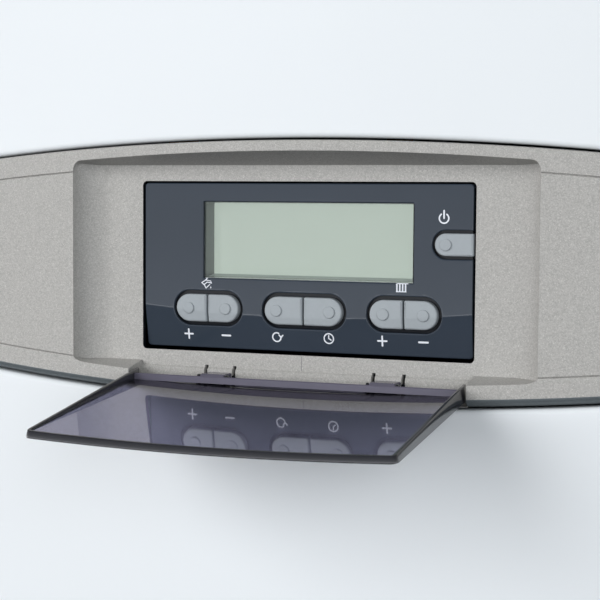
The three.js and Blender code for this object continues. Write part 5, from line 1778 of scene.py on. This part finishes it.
@dataclass(frozen=True)
class FrontCasing:
    """The white bowed front, with edges rolled inwards round the band and along its top and bottom.

    Args:
        roll: how far each row of a rolled edge lies from the edge, and inwards.
        shallow: the least inset of the rows that only the band's opening has.
    """

    roll: tuple[Flat, ...] = ((0.0, 8.0), (0.0, 2.2), (0.16, 1.35), (0.62, 0.62), (1.35, 0.16), (2.2, 0.0))
    shallow: float = 2.5

    @staticmethod
    def plan() -> list[tuple[float, float, float, float]]:
        """Columns round the front, from the left side to the right.

        Returns:
            Each column's x and depth, and its inward normal.
        """
        c = CASING
        centre = c.depth - c.bow
        corner_x = c.half - c.corner
        corner_d = centre + math.sqrt((c.bow - c.corner) ** 2 - corner_x ** 2)
        tangent = math.degrees(math.atan2(corner_x, corner_d - centre))
        half = [(c.half, d, -1.0, 0.0) for d in spread(c.back, corner_d, 4)[:-1]]
        for a in spread(90, tangent, 10):
            rad = math.radians(a)
            half.append((corner_x + c.corner * math.sin(rad), corner_d + c.corner * math.cos(rad),
                         -math.sin(rad), -math.cos(rad)))
        for x in [c.opening_half, *spread(c.opening_half - 3.0, 0.0, 42)]:
            rad = math.asin(x / c.bow)
            half.append((x, centre + c.bow * math.cos(rad), -math.sin(rad), -math.cos(rad)))
        return [*((-x, d, -nx, nd) for x, d, nx, nd in half[:-1]), *reversed(half)]

    def rows(self, x: float) -> list[Flat]:
        """The rows of one column, from the bottom to the top.

        Args:
            x: the column's place.

        Returns:
            Each row's height and its inset.
        """
        c = CASING
        limit = min(abs(x), c.opening_half)
        upper = BAND_CENTRE + BAND.top(limit) + c.gap
        lower = BAND_CENTRE + BAND.bottom(limit) - c.gap
        rows = [(c.bottom + rise, inset) for rise, inset in self.roll[1:]]
        rows += [(z, 0.0) for z in spread(c.bottom + 6, lower - 4, 6)]
        rows += [(lower - rise, inset) for rise, inset in reversed(self.roll)]
        rows += [(upper + rise, inset) for rise, inset in self.roll]
        rows += [(z, 0.0) for z in spread(upper + 4, c.top - 6, 10)]
        rows += [(c.top - rise, inset) for rise, inset in reversed(self.roll[1:])]
        return rows

    def build(self, finishes: Finishes) -> bpy.types.Object:
        """The casing's outer skin, with its rolled edges.

        Args:
            finishes: the materials.

        Returns:
            The object.
        """
        c = CASING
        shape = Shape(place=on_wall)
        plan = self.plan()
        columns = []
        for x, d, nx, nd in plan:
            open_here = abs(x) < c.opening_half + 0.5
            insets = [(z, inset if open_here or inset < self.shallow else 0.0) for z, inset in self.rows(x)]
            columns.append([(x + nx * inset, d + nd * inset, z) for z, inset in insets])
        below = [*self.roll[1:], *range(7), *self.roll]

        def slot(i: int, j: int) -> int | None:
            """The only finish, or None in the band's opening."""
            middle = abs(plan[i][0] + plan[i + 1][0]) / 2
            return None if middle < c.opening_half and j == len(below) - 1 else 0

        rings = shape.grid(columns, slot)
        shape.face([ring[0] for ring in rings])
        shape.face([ring[-1] for ring in rings])
        obj = shape.build("front_cover", [finishes["white_paint"]], 50.0)
        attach(obj, "boiler")
        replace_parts(obj, "front_casing")
        return obj


# ------------------------------------------------------------------ the CAD solids that stay


class CadLooks:
    """Materials and softened edges for the nodes that keep their CAD solids."""

    finish_of_slot = {
        "white_paint": "white_paint", "galvanised": "galvanised", "steel": "steel", "band_silver": "silver",
        "grey_plastic": "panel", "black_plastic": "black_plastic", "button_grey": "key",
        "smoked_clear": "smoked", "clear": "clear", "display": "display", "circuit_board": "circuit",
        "copper": "copper", "brass": "brass", "aluminium": "aluminium", "cast_iron": "cast", "red": "red",
        "white_plastic": "ceramic",
    }
    edge_width = {"white_paint": 0.5, "aluminium": 0.9, "cast": 1.2, "brass": 0.35, "black_plastic": 0.6}

    def __init__(self, frame: dict, finishes: Finishes) -> None:
        """Keeps the frame and the materials."""
        self.frame = frame
        self.finishes = finishes

    def dress(self) -> None:
        """Gives every CAD node its material, and rounds those that show."""
        for entry in self.frame["record"]["subparts"]:
            node = self.frame["nodes"][entry["node"]]
            finish = self.finish_of_slot[entry["material_slot"]]
            if not node.data.materials:
                node.data.materials.append(self.finishes[finish])
            for number in range(len(node.material_slots)):
                node.material_slots[number].material = self.finishes[finish]
            if not node.hide_render:
                self.soften(node, self.edge_width.get(finish, 0.25))

    @staticmethod
    def soften(node: bpy.types.Object, width: float) -> None:
        """Welds a node's facets into flats and rounds its edges, by modifiers alone.

        Args:
            node: the CAD node.
            width: the rounding in millimetres.
        """
        weld = node.modifiers.new("weld", "WELD")
        weld.merge_threshold = WELD
        flats = node.modifiers.new("flats", "DECIMATE")
        flats.decimate_type = "DISSOLVE"
        flats.angle_limit = math.radians(0.6)
        bevel = node.modifiers.new("round", "BEVEL")
        bevel.width = width * MM
        bevel.segments = 2
        bevel.limit_method = "ANGLE"
        bevel.angle_limit = math.radians(38)
        bevel.use_clamp_overlap = True
        node.modifiers.new("normals", "WEIGHTED_NORMAL").keep_sharp = True


# ------------------------------------------------------------------ stage


@dataclass(frozen=True)
class Lamp:
    """A soft square lamp, which mirrored and refracted rays don't see.

    Args:
        name: its name.
        place: where it stands, in metres.
        size: its width in metres.
        power: its power in watts.
        tint: its colour.
    """

    name: str
    place: Point
    size: float
    power: float
    tint: Colour

    def build(self, aim: Point) -> None:
        """Places the lamp.

        Args:
            aim: what it points at, in metres.
        """
        data = bpy.data.lights.new(self.name, "AREA")
        data.shape = "SQUARE"
        data.size = self.size
        data.energy = self.power
        data.color = self.tint
        obj = bpy.data.objects.new(self.name, data)
        obj.location = self.place
        obj.rotation_euler = (Vector(aim) - Vector(self.place)).to_track_quat("-Z", "Y").to_euler()
        obj.visible_glossy = False
        obj.visible_transmission = False
        bpy.context.scene.collection.objects.link(obj)


@dataclass(frozen=True)
class Studio:
    """Camera, lamps, floor and background.

    Args:
        yaw: how far the camera looks to the left, in degrees.
        pitch: how far down.
        roll: how far it is tilted.
        focal_px: its focal length in pixels of the photograph.
        place: its place about the middle of the controller's face, in millimetres.
        image_px: the photograph's width.
        sensor: the camera's sensor width in millimetres.
        aim: what the lamps point at, in metres.
        lamps: a large soft key from the left front, and a weak fill.
        bands: the surround's grey at heights from straight down, 0, to straight up, 1.
        indirect: the share of the surround that rays other than mirrored ones see.
        floor_z: the floor's height in millimetres, below the pipe ends.
    """

    yaw: float = 21.27
    pitch: float = 3.78
    roll: float = 0.40
    focal_px: float = 1556.03
    place: Point = (237.72, -612.84, 30.17)
    image_px: float = 600.0
    sensor: float = 36.0
    aim: Point = (0.0, -0.33, -0.48)
    lamps: tuple[Lamp, ...] = (
        Lamp("key", (-2.7, -3.8, 0.8), 3.0, 169.0, (1.0, 0.99, 0.985)),
        Lamp("fill", (2.4, -3.2, 0.0), 2.6, 74.0, (0.96, 0.985, 1.0)),
    )
    bands: tuple[Flat, ...] = (
        (0.0, 0.10), (0.385, 0.12), (0.405, 2.8), (0.43, 2.4), (0.45, 0.95), (0.56, 0.5), (0.72, 0.14), (1.0, 0.12),
    )
    indirect: float = 0.62
    floor_z: float = -770.0

    def camera(self) -> None:
        """The photograph's viewpoint."""
        data = bpy.data.cameras.new("viewpoint")
        data.sensor_width = self.sensor
        data.lens = self.focal_px * self.sensor / self.image_px
        data.clip_start = 0.01
        data.clip_end = 20.0
        yaw, pitch, roll = (math.radians(a) for a in (self.yaw, self.pitch, self.roll))
        ahead = Vector((-math.sin(yaw) * math.cos(pitch), math.cos(yaw) * math.cos(pitch), -math.sin(pitch)))
        level = Vector((math.cos(yaw), math.sin(yaw), 0))
        up = level.cross(ahead)
        right = level * math.cos(roll) + up * math.sin(roll)
        top = up * math.cos(roll) - level * math.sin(roll)
        x, y, z = self.place
        matrix = Matrix((right, top, -ahead)).transposed().to_4x4()
        matrix.translation = Vector((x, y - FACE_DEPTH, z + BAND_CENTRE)) * MM
        obj = bpy.data.objects.new("viewpoint", data)
        obj.matrix_world = matrix
        bpy.context.scene.collection.objects.link(obj)
        bpy.context.scene.camera = obj

    def world(self) -> None:
        """A surround of even grey bands, white to the camera."""
        world = bpy.data.worlds.new("surround")
        bpy.context.scene.world = world
        world.use_nodes = True
        nodes = Tree(world.node_tree)
        nodes.tree.nodes.clear()
        rays = nodes.node("ShaderNodeLightPath")
        way = nodes.signal("ShaderNodeTexCoord", output="Generated")
        up = nodes.signal("ShaderNodeSeparateXYZ", sockets={0: way}, output=2)
        height = nodes.signal("ShaderNodeMapRange", sockets={"Value": up, "From Min": -1.0}, output="Result")
        stops = [(position, (level * 0.95, level * 0.97, level)) for position, level in self.bands]
        bands = nodes.signal("ShaderNodeValToRGB", {"stops": stops}, {0: height})
        mirrored = Signal(nodes, rays.outputs["Is Glossy Ray"])
        strength = nodes.signal("ShaderNodeMapRange", sockets={"Value": mirrored, "To Min": self.indirect},
                                output="Result")
        lit = nodes.signal("ShaderNodeBackground", sockets={0: bands, 1: strength})
        white = nodes.signal("ShaderNodeBackground", sockets={0: (1.0, 1.0, 1.0)})
        seen = Signal(nodes, rays.outputs["Is Camera Ray"])
        mixed = nodes.signal("ShaderNodeMixShader", sockets={0: seen, 1: lit, 2: white})
        nodes.node("ShaderNodeOutputWorld", sockets={0: mixed})

    def floor(self) -> None:
        """A plain pale floor, which only the camera and shadows see."""
        shape = Shape(place=on_wall)
        corners = ((-3000, -2500), (3000, -2500), (3000, 3500), (-3000, 3500))
        shape.face(shape.add((x, d, self.floor_z) for x, d in corners))
        pale = Shader("pale_floor")
        tint = pale.mix(pale.noise(3.0), rgb(236, 236, 236), rgb(240, 240, 240))
        obj = shape.build("floor", [pale.set(Base_Color=tint, Roughness=0.7).material])
        obj.visible_glossy = False
        obj.visible_diffuse = False
        obj.visible_transmission = False

    def build(self) -> None:
        """All of it."""
        self.camera()
        self.world()
        for lamp in self.lamps:
            lamp.build(self.aim)
        self.floor()
        bpy.context.scene.view_settings.view_transform = "Standard"


def report(pieces: Iterable[bpy.types.Object]) -> None:
    """Logs finished pieces."""
    for piece in pieces:
        LOG.info("%s: %d faces", piece.name, len(piece.data.polygons))


def main() -> None:
    """Builds the looks round the frame."""
    logging.basicConfig(level=logging.INFO)
    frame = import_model()
    finishes = Finishes()
    Studio().build()

    fascia = Fascia().build(finishes)
    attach(fascia, "boiler")
    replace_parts(fascia, "control_fascia")
    report([fascia])

    housing = ControllerFace(finishes).build()
    for piece in housing:
        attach(piece, "boiler")
    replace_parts(housing[0], "controller_case")
    report(housing)
    for sign in SIGNS:
        ink = sign.build(finishes["ink"])
        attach(ink, "boiler")
        report([ink])
    report(Button(key).build(finishes) for key in KEYS)
    report(FlapPieces().build(finishes))
    report([FrontCasing().build(finishes)])
    CadLooks(frame, finishes).dress()


if __name__ == "__main__":
    main()
